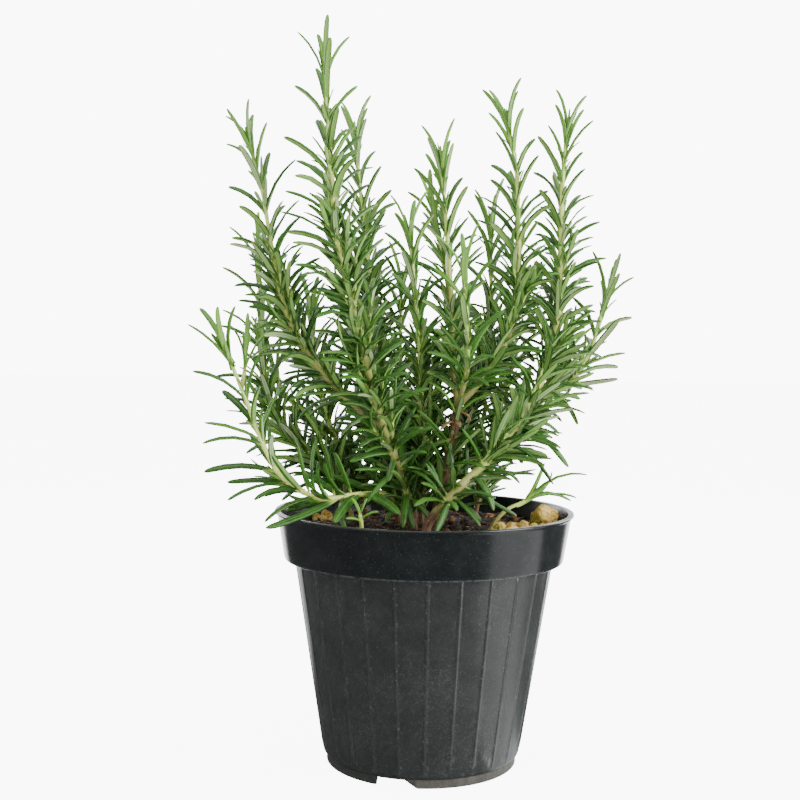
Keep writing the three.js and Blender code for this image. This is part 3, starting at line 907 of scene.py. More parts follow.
@dataclass(frozen=True)
class FibreFinish:
    """Strips of bark and roots in the soil, each with its own tone.

    Attributes:
        dark: a wet strip.
        light: a dry one.
    """

    dark: Colour = (0.06, 0.026, 0.012)
    light: Colour = (0.52, 0.27, 0.11)

    def material(self, effects: Effects) -> bpy.types.Material:
        """Builds the material.

        Args:
            effects: the shared effects.

        Returns:
            The material.
        """
        material, bench = new_material("bark_fibre")
        tone, _, _ = bench.parts(bench.value("soil_tone"))
        (grain,) = bench.effect(effects.grain, bench.place(), 700.0)
        share = (tone + (grain - 0.5) * 0.8).band(0.1, 1.0)
        colour = bench.blend(share, self.dark, self.light)
        bench.shade(colour, grain.band(0.3, 0.7, 0.65, 0.95), bench.bump(grain, 0.6, 0.3))
        return material


# The pot


@dataclass
class NurseryPot:
    """A moulded nursery pot: foot ring, ribbed wall, smooth collar and out-turned lip.

    Attributes:
        rim_radius: the lip's outer radius.
        height: from the foot to the rim.
        collar_height: from the step to the rim.
        skin: how thick the plastic is.
        corner: how far the wall's lower edge is rounded.
        notch_turn: the first foot notch's turn from the front.
        notch_slopes: how far its two ends slope.
        rib_turn: the first rib's turn from the front.
        rib_dust: how far to each side of a rib's crest dust sticks.
        drain_heights: from where to where the drain holes are cut.
        row_step: the longest step between two rows of the mesh.
        splashed: the height up to which hard water has dried on the wall.
        splash_turn: the turn from the front at which it is thickest.
    """

    rim_radius: float = 70.0
    height: float = 118.0
    lip_height: float = 1.8
    lip_overhang: float = 1.3
    collar_height: float = 22.5
    collar_bottom_radius: float = 65.3
    wall_top_radius: float = 60.2
    wall_base_radius: float = 46.1
    skin: float = 1.3
    corner: float = 1.2
    foot_radius: float = 44.6
    foot_height: float = 4.0
    foot_skin: float = 1.8
    notches: int = 3
    notch_turn: float = -18.7
    notch_width: float = 13.5
    notch_slopes: tuple[float, float] = (0.5, 5.5)
    ribs: int = 26
    rib_turn: float = 0.9
    rib_width: float = 2.3
    rib_proud: float = 0.34
    rib_dust: float = 3.2
    drain_holes: int = 5
    drain_radius: float = 4.0
    drain_circle: float = 29.0
    drain_sides: int = 24
    drain_heights: tuple[float, float] = (0.5, 8.5)
    row_step: float = 4.0
    splashed: float = 20.0
    splash_turn: float = 52.0

    def profile(self) -> Array:
        """Draws the wall's outline with rounded corners.

        Returns:
            Its points as radius and height, from the floor outside to the floor inside.
        """
        step = self.height - self.collar_height
        lip = self.height - self.lip_height
        collar = self.rim_radius - self.lip_overhang
        floor = self.foot_height + self.skin
        inner_foot = self.foot_radius - self.foot_skin
        inner_base = self.wall_base_radius - self.skin
        corners = [
            (0.0, self.foot_height, 0.0),
            (inner_foot, self.foot_height, 0.5),
            (inner_foot, 0.0, 0.35),
            (self.foot_radius, 0.0, 0.45),
            (self.foot_radius, self.foot_height, 0.3),
            (self.wall_base_radius, self.foot_height + self.corner, 1.4),
            (self.wall_top_radius, step, 0.5),
            (self.collar_bottom_radius, step, 0.9),
            (collar, lip, 0.5),
            (self.rim_radius, lip + self.corner / 2, 0.5),
            (self.rim_radius, self.height, 0.55),
            (collar - self.skin, self.height, 0.6),
            (self.collar_bottom_radius - self.skin, step + self.skin, 1.0),
            (self.wall_top_radius - self.skin, step + self.skin / 2, 0.8),
            (inner_base, floor + self.corner, 1.0),
            (inner_base - self.corner, floor, 0.8),
            (0.0, floor, 0.0),
        ]
        outline = [np.array(corners[0][:2])]
        for before, here, after in zip(corners, corners[1:], corners[2:]):
            outline += self._rounded(before, here, after)
        outline.append(np.array(corners[-1][:2]))
        rows = [outline[0]]
        for start, end in zip(outline, outline[1:]):
            pieces = max(1, round(float(np.linalg.norm(end - start)) / self.row_step))
            rows += [start + (end - start) * k / pieces for k in range(1, pieces + 1)]
        return np.array(rows)

    @staticmethod
    def _rounded(before: Point, here: Point, after: Point, steps: int = 4) -> list[Array]:
        """Rounds one corner of an outline.

        Args:
            before: the corner before it.
            here: the corner, with its radius as third number.
            after: the corner after it.
            steps: how many straight pieces the round has.

        Returns:
            The points of the round.
        """
        corner = np.array(here[:2])
        back = np.array(before[:2]) - corner
        ahead = np.array(after[:2]) - corner
        reach = min(here[2], 0.45 * np.linalg.norm(back), 0.45 * np.linalg.norm(ahead))
        start = corner + unit(back) * reach
        end = corner + unit(ahead) * reach
        shares = np.linspace(0.0, 1.0, steps + 1)
        return [start * (1 - t) ** 2 + corner * 2 * t * (1 - t) + end * t * t for t in shares]

    def _turns(self) -> Array:
        """Spreads the mesh's columns, closer at the ribs and at the notches' ends.

        Returns:
            Their turns from the front towards +X.
        """
        per_rib = 360.0 / self.ribs
        rib = np.degrees(np.linspace(-1.1, 1.1, 12) / 50.0)
        between = np.linspace(rib[-1], per_rib + rib[0], 7)[1:-1]
        each = np.concatenate([rib, between])
        turns = [self.rib_turn + per_rib * i + each for i in range(self.ribs)]
        edge = math.degrees(self.notch_width / 2 / self.foot_radius)
        slopes = np.degrees(np.array(self.notch_slopes) / self.foot_radius)
        for i in range(self.notches):
            middle = self.notch_turn + 360.0 * i / self.notches
            ends = [middle - edge - slopes[0], middle - edge, middle + edge]
            turns.append(np.array([*ends, *(ends[-1] + slopes[1] * np.linspace(0.25, 1.0, 4))]))
        return np.unique(np.round(np.mod(np.concatenate(turns), 360.0), 4))

    def surface(self) -> Skin:
        """Shapes the pot with its ribs and foot notches, but without drain holes.

        Returns:
            Its surface, with rib dust, dried water and mud as values.
        """
        outline = self.profile()
        turns = self._turns()
        radius, height = (np.repeat(part[:, None], len(turns), axis=1) for part in outline.T)
        step = self.height - self.collar_height
        base = self.foot_height + self.corner
        slope = (self.wall_top_radius - self.wall_base_radius) / (step - base)
        on_wall = np.abs(radius - self.wall_base_radius - slope * (height - base)) < 0.25
        on_wall &= (height > base + 0.3) & (height < step - 0.3)
        per_rib = 360.0 / self.ribs
        off = (turns - self.rib_turn + per_rib / 2) % per_rib - per_rib / 2
        away = np.abs(np.radians(off))[None] * radius
        crest = np.cos(np.clip(away / self.rib_width, 0.0, 0.5) * math.pi) ** 2 * on_wall
        by_rib = np.clip(1.0 - away / self.rib_dust, 0.0, 1.0) * on_wall
        proud = self.rib_proud * crest * ease(height, base + 0.8, base + 3.0)
        edge = math.degrees(self.notch_width / 2 / self.foot_radius)
        per_notch = 360.0 / self.notches
        from_notch = (turns - self.notch_turn + per_notch / 2) % per_notch - per_notch / 2
        slope = np.where(from_notch < 0.0, *self.notch_slopes)
        past = np.radians(np.abs(from_notch) - edge) * self.foot_radius
        cut = np.clip(1.0 - past / slope, 0.0, 1.0)
        raised = np.maximum(height, (self.foot_height - self.corner / 6) * cut[None])
        height = np.where(height < self.foot_height, raised, height)
        angle = np.radians(turns)
        wide = radius + proud
        points = np.stack([wide * np.sin(angle), -wide * np.cos(angle), height], axis=2)
        splash = ease(np.cos(angle - math.radians(self.splash_turn)), 0.45, 0.95)
        damp = ease(-height, -self.splashed, -5.0) * splash
        on_ring = (outline[:, 1][:, None] < self.foot_height + 0.1) & (radius > 40.0)
        past_notch = ease(np.sin(angle - math.radians(self.notch_turn)), -0.1, 0.2)
        muddy = on_ring * (0.2 + 0.8 * past_notch)
        wear = np.stack([by_rib, damp * (height > 3.0) * (radius > 44.0), muddy], axis=2)
        faces = ring_faces(len(outline), len(turns))
        return Skin(points.reshape(-1, 3), [(faces, 0)], {"pot_wear": wear.reshape(-1, 3)})

    def _drain(self, turn: float) -> bpy.types.Object:
        """Makes the round plug that cuts one drain hole.

        Args:
            turn: where it is, from +X.

        Returns:
            The plug.
        """
        around = circle(self.drain_sides)
        rim = self.drain_circle * np.array([np.cos(turn), np.sin(turn)]) + self.drain_radius * around
        ends = [np.column_stack([rim, np.full(len(rim), z)]) for z in self.drain_heights]
        skin = Skin(np.concatenate(ends), tube_faces(2, self.drain_sides))
        return make_object("drain_cutter", skin, [])

    def build(self, plastic: bpy.types.Material) -> bpy.types.Object:
        """Makes the pot and cuts its drain holes.

        Args:
            plastic: its finish.

        Returns:
            The pot.
        """
        pot = make_object("nursery_pot", self.surface(), [plastic])
        work = bmesh.new()
        work.from_mesh(pot.data)
        bmesh.ops.remove_doubles(work, verts=work.verts, dist=0.001 * MM)
        work.to_mesh(pot.data)
        work.free()
        for i in range(self.drain_holes):
            hole = pot.modifiers.new("drain", "BOOLEAN")
            hole.object = self._drain(2 * math.pi * i / self.drain_holes)
            hole.operation = "DIFFERENCE"
            hole.solver = "EXACT"
        bpy.context.view_layer.update()
        shaped = pot.evaluated_get(bpy.context.evaluated_depsgraph_get())
        mesh = bpy.data.meshes.new_from_object(shaped)
        for hole in list(pot.modifiers):
            cutter = hole.object
            pot.modifiers.remove(hole)
            bpy.data.objects.remove(cutter)
        pot.data = mesh
        return pot


# Soil and clods


@dataclass
class SoilBed:
    """The plug of peat that fills the pot, with a crumbly top, loose crumbs and bark fibres.

    Attributes:
        top: the middle height of its surface.
        relief: how far the broad waves go.
        radius: of the top, where it meets the pot.
        against_pot: the radius and height of each ring below the top.
        crumbs: how many loose crumbs lie on it.
        fibres: how many strips of bark and root.
    """

    top: float = 109.0
    relief: float = 1.1
    radius: float = 65.2
    rings: int = 76
    sides: int = 240
    against_pot: tuple[tuple[float, float], ...] = ((41.5, 5.7), (44.2, 7.2), (58.3, 96.4), (63.4, 97.3))
    crumbs: int = 1500
    fibres: int = 420
    fibre_steps: int = 7
    seed: int = 5

    def height(self, x: Array, y: Array) -> Array:
        """Reads the height of the broad waves, the same as in the part's source.

        Args:
            x: where to read it, to the right.
            y: where to read it, to the back.

        Returns:
            The heights.
        """
        long = np.sin(0.11 * x + 0.4) * np.cos(0.09 * y - 0.8)
        short = np.sin(0.31 * x - 0.27 * y) * np.cos(0.23 * x + 0.35 * y + 1)
        return self.top + self.relief * (0.7 * long + 0.5 * short)

    def lumpy_height(self, x: Array, y: Array) -> Array:
        """Reads the height of the surface with its lumps and hollows.

        Args:
            x: where to read it, to the right.
            y: where to read it, to the back.

        Returns:
            The heights.
        """
        flat = np.column_stack([x, y, np.zeros_like(x)])
        lumps = 1.5 * rough_noise(flat, 7.0, 3, 3) + 0.9 * np.abs(rough_noise(flat, 2.6, 9, 4))
        return self.height(x, y) + lumps - 0.6

    def _plug(self) -> Skin:
        """Shapes the bed itself.

        Returns:
            Its top, its side against the pot and its bottom.
        """
        around = circle(self.sides)
        rows = [np.column_stack([r * around, np.full(self.sides, z)]) for r, z in self.against_pot]
        for radius in self.radius * np.linspace(1.0, 0.002, self.rings) ** 0.85:
            x, y = radius * around.T
            rows.append(np.stack([x, y, self.lumpy_height(x, y)], 1))
        points = np.concatenate(rows)
        # The second value is how far the top lies below its broad waves, where the finish paints shade.
        low = ease(self.height(points[:, 0], points[:, 1]) - points[:, 2], -0.6, 1.6)
        tone = 0.35 * (1 + rough_noise(points, 3.0, 21))
        values = np.column_stack([tone, low, np.zeros_like(low)])
        return Skin(points, tube_faces(len(rows), self.sides), {"soil_tone": values})

    def _places(self, dice: Dice, count: int, edge: float) -> Array:
        """Scatters places over the top.

        Args:
            dice: where the chance comes from.
            count: how many places.
            edge: how far they stay from the pot.

        Returns:
            One row for each place, on the surface.
        """
        flat = []
        for _ in range(count):
            reach = (self.radius - edge) * math.sqrt(dice.roll())
            turn = 2 * math.pi * dice.roll()
            flat.append((reach * math.cos(turn), reach * math.sin(turn)))
        x, y = np.array(flat).T
        return np.column_stack([x, y, self.lumpy_height(x, y)])

    def _crumbs(self) -> Skin:
        """Shapes the loose crumbs.

        Returns:
            One surface for all, a few of them large.
        """
        dice = Dice(self.seed)
        places = self._places(dice, self.crumbs, 2.5)
        coarse, fine = unit_lump(1), unit_lump(2)
        skins = []
        for i, place in enumerate(places):
            size = 0.45 + 1.9 * dice.roll() ** 4
            points, corners = fine if size > 0.9 else coarse
            stretch = [dice.between(0.7, 1.5), dice.between(0.7, 1.2), dice.between(0.5, 0.9)]
            rough = 1 + 0.3 * lattice_noise(points * 1.7 + i, 17)
            shape = points * np.array(stretch) * rough[:, None] * size
            shape = turned(shape, 2 * math.pi * dice.roll()) + place
            values = np.tile([dice.roll() ** 3, 0.0, 0.0], (len(points), 1))
            skins.append(Skin(shape, [(corners, 0)], {"soil_tone": values}))
        return join_skins(skins)

    def _fibres(self) -> Skin:
        """Shapes the strips of bark and root that lie on the soil.

        Returns:
            One surface for all, some with an end in the air.
        """
        dice = Dice(self.seed + 1)
        count = self.fibre_steps
        steps = np.linspace(0.0, 1.0, count)
        taper = (1 - (2 * steps - 0.9) ** 4 * 0.5)[:, None]
        skins = []
        for place in self._places(dice, self.fibres, 8.0):
            turn = 2 * math.pi * dice.roll()
            length = dice.between(3.0, 13.0) * (0.6 if dice.roll() < 0.5 else 1.0)
            rise = dice.between(-0.05, 0.4) * dice.roll()
            heading = turn + dice.spread(1.6) * steps
            half = dice.between(0.16, 0.55) * taper
            x = place[0] + np.cumsum(np.cos(heading)) * length / count
            y = place[1] + np.cumsum(np.sin(heading)) * length / count
            if np.hypot(x, y).max() > self.radius - 1.5:
                continue
            z = self.lumpy_height(x, y) + 0.15 + rise * length * steps * (1 - 0.4 * steps)
            path = np.column_stack([x, y, z])
            side = np.column_stack([-np.sin(heading), np.cos(heading), np.zeros(count)]) * half
            thick = UP * 0.35 * half
            rings = np.stack([path - side, path - thick, path + side, path + thick], 1).reshape(-1, 3)
            values = np.tile([dice.roll() ** 1.5, 0.0, 0.0], (len(rings), 1))
            skins.append(Skin(rings, tube_faces(count, 4), {"soil_tone": values}))
        return join_skins(skins)

    def build(
        self, soil: bpy.types.Material, fibre: bpy.types.Material
    ) -> tuple[bpy.types.Object, bpy.types.Object]:
        """Makes the soil and the fibres on it.

        Args:
            soil: the peat's finish.
            fibre: the fibres' finish.

        Returns:
            The soil and the fibres.
        """
        bed = make_object("peat_soil", join_skins([self._plug(), self._crumbs()]), [soil])
        return bed, make_object("bark_fibres", self._fibres(), [fibre])


@dataclass
class Clod:
    """A lump of dry clay that lies half in the soil.

    Attributes:
        name: the CAD node that it replaces.
        centre: its middle.
        size: its radii.
        turn: how far it is turned.
        detail: how finely its mesh is split.
        pale: how much paler it is than the rest.
        moss: the direction of its mossy side, or None.
    """

    name: str
    centre: Point
    size: Point
    turn: float
    detail: int = 5
    pale: float = 0.0
    moss: Point | None = None

    def skin(self) -> Skin:
        """Shapes the clod.

        Returns:
            The CAD shape with lumps, cracks and pits.
        """
        points, corners = unit_lump(self.detail)
        wave = np.sin(4.1 * points[:, 0] + self.turn)
        wave = wave * np.cos(3.3 * points[:, 1] - 2.2 * points[:, 2])
        shape = points * (1 + 0.12 * wave)[:, None] * np.array(self.size)
        seed = int(self.turn)
        lumps = rough_noise(shape, 3.4, seed, 4)
        cracks = 1 - np.abs(rough_noise(shape, 2.6, seed + 7, 4)) * 3.0
        cracks = np.clip(cracks, 0.0, 1.0) ** 3
        pits = np.clip(rough_noise(shape, 1.1, seed + 3, 3) - 0.15, 0.0, 1.0)
        grown = 0.75 * lumps - 0.45 * cracks - 0.7 * pits - 0.1
        shape = turned(shape + points * grown[:, None], math.radians(self.turn))
        # Painted shade: this first value is high in the cracks and pits and low on the lumps, and the
        # finish darkens the clay by it.
        pit_shade = np.clip(cracks + 2.0 * pits - 0.6 * lumps, 0.0, 1.0)
        mossy = np.zeros(len(points))
        if self.moss is not None:
            facing = unit(shape) @ unit(np.array(self.moss))
            mossy = ease(facing + 0.35 * rough_noise(shape, 3.0, 77), 0.45, 0.8)
            shape = shape + unit(shape) * (mossy * 0.35 * (1 + rough_noise(shape, 0.7, 5)))[:, None]
        values = np.column_stack([pit_shade, mossy, np.full(len(points), self.pale)])
        return Skin(shape + np.array(self.centre), [(corners, 0)], {"clay_tone": values})

    def build(self, clay: bpy.types.Material) -> bpy.types.Object:
        """Makes the clod in its finish."""
        return make_object("clay_" + self.name, self.skin(), [clay])


CLODS = [
    Clod("clod_1", (57.5, 8, 113.4), (6.8, 6, 6.2), 20, 6, 0.0, (-0.8, -0.5, -0.35)),
    Clod("clod_2", (47, 0, 110.8), (3.4, 2.8, 2.8), 70, 5, 0.15),
    Clod("clod_3", (34, -14, 111.2), (3.6, 2.8, 2.6), 130, 5, 0.0, (-0.2, -0.6, 0.6)),
    Clod("clod_4", (56, 23, 112.4), (3.6, 3, 3), 200, 5, 0.45),
    Clod("clod_5", (-48, 33, 110.3), (3.6, 2.8, 2.3), 300),
]


@dataclass
class ClayCrumbs:
    """The crumbs of clay that have come off the clods and lie around them.

    Attributes:
        each: how many lie around a clod.
        reach: how far they lie from its edge.
        sizes: their smallest and largest radius.
        seed: for their places.
    """

    each: int = 18
    reach: float = 7.0
    sizes: tuple[float, float] = (0.8, 3.0)
    seed: int = 43

    def build(self, bed: SoilBed, clay: bpy.types.Material) -> bpy.types.Object:
        """Makes the crumbs.

        Args:
            bed: the soil that they lie on.
            clay: their finish.

        Returns:
            All crumbs as one piece.
        """
        dice = Dice(self.seed)
        ball, corners = unit_lump(2)
        skins = []
        for clod in [clod for clod in CLODS for _ in range(self.each)]:
            size = dice.between(*self.sizes) * dice.between(0.45, 1.0)
            turn = 2 * math.pi * dice.roll()
            away = clod.size[0] + size * 0.5 + self.reach * dice.roll() ** 2
            x = np.array([clod.centre[0] + away * math.cos(turn)])
            y = np.array([clod.centre[1] + away * math.sin(turn)])
            if math.hypot(x[0], y[0]) > bed.radius - size * 1.6:
                continue
            stretch = np.array([dice.between(0.8, 1.4), dice.between(0.8, 1.3), 0.8])
            rough = 1 + 0.34 * lattice_noise(ball * 1.6 + away, 5)
            place = np.array([x[0], y[0], bed.lumpy_height(x, y)[0] + size * 0.35])
            shape = ball * stretch * rough[:, None] * size + place
            values = np.tile([0.15 * dice.roll(), 0.0, 0.5 * dice.roll() ** 2], (len(ball), 1))
            skins.append(Skin(shape, [(corners, 0)], {"clay_tone": values}))
        return make_object("clay_crumbs", join_skins(skins), [clay])


# The bush's plan, the same as in the part's source


@dataclass(frozen=True)
class Shoot:
    """One shoot of the bush.

    Attributes:
        radius: its thickness at the foot and at the tip, as radii.
        bare: the length at its foot without leaves.
        turn: the turn of its pairs of leaves.
        points: what it passes through.
        crown: how much shorter the stem is than its leaves.
        wood: how woody its foot is.
    """

    radius: tuple[float, float]
    bare: float
    turn: float
    points: tuple[Point, ...]
    crown: float = 14.0
    wood: float = 0.3


STEMS: dict[str, tuple[Shoot, ...]] = {
    "leafy_stem_tall": (
        Shoot((1.9, 0.8), 84, 20, (
            (-5, -6, 92), (-5, -6, 112), (-8, -8, 127), (-19, -20, 157), (-26, -28, 182),
            (-34, -38, 216), (-40, -42, 241), (-44, -44, 283), (-47, -43, 324),
        )),
        Shoot((1.5, 0.6), 16, 65, (
            (-19, -20, 157), (-34, -20, 169), (-48, -22, 183), (-63, -26, 207), (-69, -26, 232),
            (-76, -22, 268), (-85, -16, 296),
        )),
    ),
    "leafy_stem_behind": (
        Shoot((1.6, 0.6), 30, 40, (
            (-12, 22, 92), (-12, 22, 110), (-20, 26, 148), (-25, 30, 188), (-28, 32, 234),
            (-33, 34, 271), (-36, 34, 306),
        )),
    ),
    "leafy_stem_left": (
        Shoot((1.3, 0.5), 28, 10, (
            (-34, 16, 92), (-34, 16, 110), (-46, 20, 132), (-62, 22, 146), (-75, 24, 166),
            (-80, 25, 202), (-82, 25, 248),
        )),
    ),
    "leafy_stem_low_left": (
        Shoot((1.4, 0.7), 63, 35, (
            (-8, 5, 92), (-8, 5, 112), (-12, 0, 121), (-19, -8, 126), (-29, -18, 127),
            (-41, -28, 126.5), (-54, -31, 128), (-70, -30, 142), (-75, -34, 159),
            (-82, -36, 175), (-92, -40, 202),
        ), wood=0.15),
        Shoot((1.1, 0.5), 4, 0, ((-82, -36, 175), (-81, -31, 187), (-84, -27, 200))),
    ),
    "leafy_stem_middle": (
        Shoot((1.5, 0.6), 30, 75, (
            (-1, 11, 92), (-1, 11, 112), (-1, 8, 150), (-3, 2, 189), (-6, -4, 224),
            (-10, -8, 256),
        )),
    ),
    "leafy_stem_centre": (
        Shoot((2.8, 2.0), 42, 0, (
            (5, -2, 92), (5, -2, 110), (7, -2, 123), (11, -2, 142), (15, -2, 167),
        ), crown=0.0, wood=1.2),
        Shoot((1.5, 0.6), 6, 50, (
            (15, -2, 167), (13, 2, 181), (12, 6, 212), (9, 8, 250), (5, 8, 291),
        )),
        Shoot((1.1, 0.5), 8, 15, ((12, 6, 212), (7, 12, 238), (3, 14, 257), (-1, 15, 269))),
        Shoot((1.3, 0.6), 8, 85, (
            (15, -2, 167), (18, -14, 182), (18, -24, 198), (16, -32, 222), (14, -34, 237),
        )),
        Shoot((1.7, 0.6), 10, 30, (
            (15, -2, 167), (29, 2, 183), (39, 6, 201), (43, 8, 222), (43, 10, 250),
            (41, 10, 283), (34, 8, 310),
        )),
    ),
    "leafy_stem_inner_right": (
        Shoot((1.5, 0.6), 28, 60, (
            (10, 26, 92), (10, 26, 110), (19, 30, 149), (27, 32, 186), (32, 34, 218),
            (31, 34, 264),
        )),
    ),
    "leafy_stem_right": (
        Shoot((2.2, 0.8), 62, 45, (
            (1, -20, 92), (1, -20, 112), (3.5, -20, 118.5), (10, -19.5, 125), (19, -17, 134),
            (38, -8, 152), (52, 2, 174), (62, 10, 203), (64, 16, 242), (65, 18, 285),
            (69, 18, 307),
        ), wood=0.15),
        Shoot((1.4, 0.6), 6, 5, ((52, 2, 174), (69, 14, 178), (84, 23, 204), (90, 27, 233))),
    ),
    "leafy_stem_back_left": (
        Shoot((1.4, 0.6), 22, 25, (
            (-28, 32, 92), (-28, 32, 110), (-42, 38, 142), (-54, 43, 180), (-58, 45, 222),
        )),
        Shoot((1.2, 0.5), 6, 70, (
            (-42, 38, 142), (-56, 37, 156), (-74, 42, 176), (-79, 43, 200),
        )),
    ),
    "leafy_stem_back": (
        Shoot((1.5, 0.6), 22, 55, (
            (-4, 40, 92), (-4, 40, 110), (-8, 45, 146), (-12, 48, 190), (-12, 48, 236),
        )),
        Shoot((1.2, 0.5), 6, 5, ((-8, 45, 146), (4, 49, 164), (12, 50, 196))),
    ),
    "leafy_stem_back_right": (
        Shoot((1.5, 0.6), 22, 80, (
            (26, 36, 92), (26, 36, 110), (35, 42, 146), (43, 47, 190), (47, 49, 232),
        )),
        Shoot((1.2, 0.5), 6, 35, (
            (35, 42, 146), (50, 45, 158), (66, 46, 176), (72, 47, 200),
        )),
    ),
    "leafy_sprig_front": (
        Shoot((1.2, 0.7), 26, 30, (
            (-28, -36, 95), (-28, -36, 110), (-28.5, -36.5, 116), (-29, -37, 121),
        ), crown=0.0, wood=0.6),
    ),
    "leafy_sprig_right": (
        Shoot((1.3, 0.7), 34, 50, (
            (31, -3, 95), (31, -3, 110), (37, -1, 117), (44, 1, 120.5), (51, 5, 124),
            (57, 8, 133),
        ), wood=0.5),
    ),
}


@dataclass(frozen=True)
class PlacedLeaf:
    """A leaf that hangs over the rim or reaches out on its own.

    Attributes:
        along: where it grows on the main shoot.
        tip: where it ends.
        rise: how far its middle stands over a straight line.
        wide: its width as a share of a usual leaf's.
    """

    along: float
    tip: Point
    rise: float
    wide: float = 1.0


def placed(*rows: tuple[float, ...]) -> tuple[PlacedLeaf, ...]:
    """Makes leaves from rows of numbers: along, the tip's x, y and z, rise and width."""
    return tuple(PlacedLeaf(row[0], row[1:4], *row[4:]) for row in rows)


PLACED_LEAVES: dict[str, tuple[PlacedLeaf, ...]] = {
    "leafy_stem_tall": placed(
        (36, -29, -24, 132, 1), (56, -34, -30, 143, 2), (57, 2, -24, 158, 3),
        (73, -39, -35, 169, 4), (74, 1, -28, 176, 4),
    ),
    "leafy_stem_low_left": placed(
        (54, -12, -38, 121, 1, 1.35), (58, -40, -44, 117.5, 2, 1.4), (70, -69, -52, 116, -1, 1.3),
        (73, -64, -24, 122.5, 0, 1.1), (101, -100, -24, 137, 3), (95, -90, -20, 132, 1),
    ),
    "leafy_stem_right": placed(
        (72, 58, -22, 133, 6, 1.2), (84, 66, -12, 140, 5, 1.2), (46, 42, -18, 118, 0),
        (59, 16, -30, 158, 2), (60, 58, -14, 144, 2),
    ),
    "leafy_sprig_front": placed(
        (22, -35, -42, 119, 1, 0.75), (23, -21, -40, 122, 1, 0.75), (24.5, -33, -33, 127, 1, 0.7),
        (25, -26, -41, 128, 1, 0.7),
    ),
    "leafy_sprig_right": placed(
        (38, 77, 2, 135, 5, 0.9), (36, 70.5, 11, 121.5, 4, 1.4), (37, 57, 6, 140, -3, 1.3),
    ),
}

# Leaves of the main shoots that hang low in front of the soil. The CAD model leaves them out.
LOW_LEAVES: dict[str, tuple[PlacedLeaf, ...]] = {
    "leafy_stem_tall": placed(
        (37, -10, -23, 112.5, 1, 1.45), (38, -5, -18, 112, -1), (33, 2, -18, 116, 2),
        (34, -18, -16, 114, 2), (47, -26, -24, 124, 3), (46, -32, -28, 139, 1),
        (55, -17, -28, 134, 0, 1.3), (48, 5, -28, 131, 3), (49, 11, -26, 153, 2, 1.1),
        (58, -24, -6, 166, 1), (75, -6, -18, 184, 2),
    ),
    "leafy_stem_low_left": placed(
        (56, -16, -30, 121, 2, 1.3), (46, -24, -22, 142, 0), (62, -41, -30, 147, 0),
        (71, -45, -36, 150, 0), (84, -57, -34, 150, -1, 1.5), (86, -76, -36, 126, 3, 1.1),
        (36, -20, -10, 138, 0), (41, -30, -2, 118, 2),
    ),
    "leafy_stem_centre": placed(
        (36, 16, -26, 132, 2, 1.2), (38, -8, -22, 140, 2, 1.2), (44, 2, -26, 152, 1, 1.1),
        (46, 27, -22, 140, 3, 1.2), (50, 24, -24, 158, 1, 1.2), (53, 0, -16, 160, 2),
        (33, 24, -10, 126, 3), (38, -10, 6, 130, 3), (57, -4, -22, 166, 1, 1.1),
        (60, 34, -14, 152, 4, 1.2),
    ),
    "leafy_stem_right": placed(
        (36.5, 5, -31, 112, 0, 1.25), (34, -5, -36, 124, 3, 1.1), (35, -2, -34, 134, 2, 1.2),
        (33, 14, -34, 122, 3), (36, 26, -15, 115, 2), (39, 25, -24, 114, 1),
        (41, 12, -34, 141, 1, 1.1), (51, 31, -24, 121, 5, 1.5), (52, 42, -12, 137, 1),
        (37, 0, -22, 142, 0), (54, 52, -4, 138, -1),
    ),
}

# Small dry leaves that are left on the woody stem.
DRY_LEAVES = placed((66, 16, -10, 158, 2), (68, 7, -8, 156, 2), (71, 21, -7, 160, 3), (60, 3, -9, 148, 2))


@dataclass(frozen=True)
class Growth:
    """How leaves change from a shoot's tip to its older part.

    Distances are from the tip, and each spread is the width of a random part.

    Attributes:
        first_pair: where the first pair of leaves grows.
        stretching: the distance over which the stem between pairs gets to its full length.
        crowded_from: where the pairs start to stand closer again.
        crowded: where they are at their closest.
        ageing: the distance over which leaves get old.
        tip_lean: the angle of the youngest leaf from its stem.
        lean_gain: how much more an old one leans.
        bend: how far a leaf bends away in its middle.
        droop: how much an old leaf hangs.
        bend_at: the part of a leaf before its bend.
        sunk: how deep its root is in the stem, as a share of the stem's radius.
        spacing_at_tip: between pairs at the tip.
        spacing: between pairs further down.
        spacing_crowded: between pairs where they are crowded.
    """

    first_pair: float = 1.2
    stretching: float = 8.0
    crowded_from: float = 36.0
    crowded: float = 70.0
    ageing: float = 55.0
    pair_turn_spread: float = 24.0
    turn_spread: float = 18.0
    tip_lean: float = 7.0
    lean_gain: float = 48.0
    tip_lean_spread: float = 6.0
    lean_spread_gain: float = 14.0
    bend: float = 22.0
    bend_spread: float = 14.0
    length: float = 26.0
    length_spread: float = 0.28
    droop: float = 0.22
    bend_at: float = 0.4
    sunk: float = 0.75
    spacing_at_tip: float = 3.0
    spacing: float = 11.0
    spacing_crowded: float = 6.8


def distances(places: Array) -> Array:
    """Returns how far each place is along the line through them."""
    return np.concatenate([[0.0], np.cumsum(np.linalg.norm(np.diff(places, axis=0), axis=1))])


def smooth_through(corners: Array, pieces: int) -> Array:
    """Draws a smooth curve through points.

    Args:
        corners: the points.
        pieces: how many straight pieces lie between two of them.

    Returns:
        The points of the curve.
    """
    padded = np.vstack([2 * corners[0] - corners[1], corners, 2 * corners[-1] - corners[-2]])
    rows = [corners[0]]
    for i in range(len(corners) - 1):
        before, start, end, after = padded[i : i + 4]
        leave, arrive = 0.5 * (end - before), 0.5 * (after - start)
        for k in range(1, pieces + 1):
            t = k / pieces
            square = (-3 * start + 3 * end - 2 * leave - arrive) * t * t
            rows.append(start + leave * t + square + (2 * start - 2 * end + leave + arrive) * t**3)
    return np.array(rows)


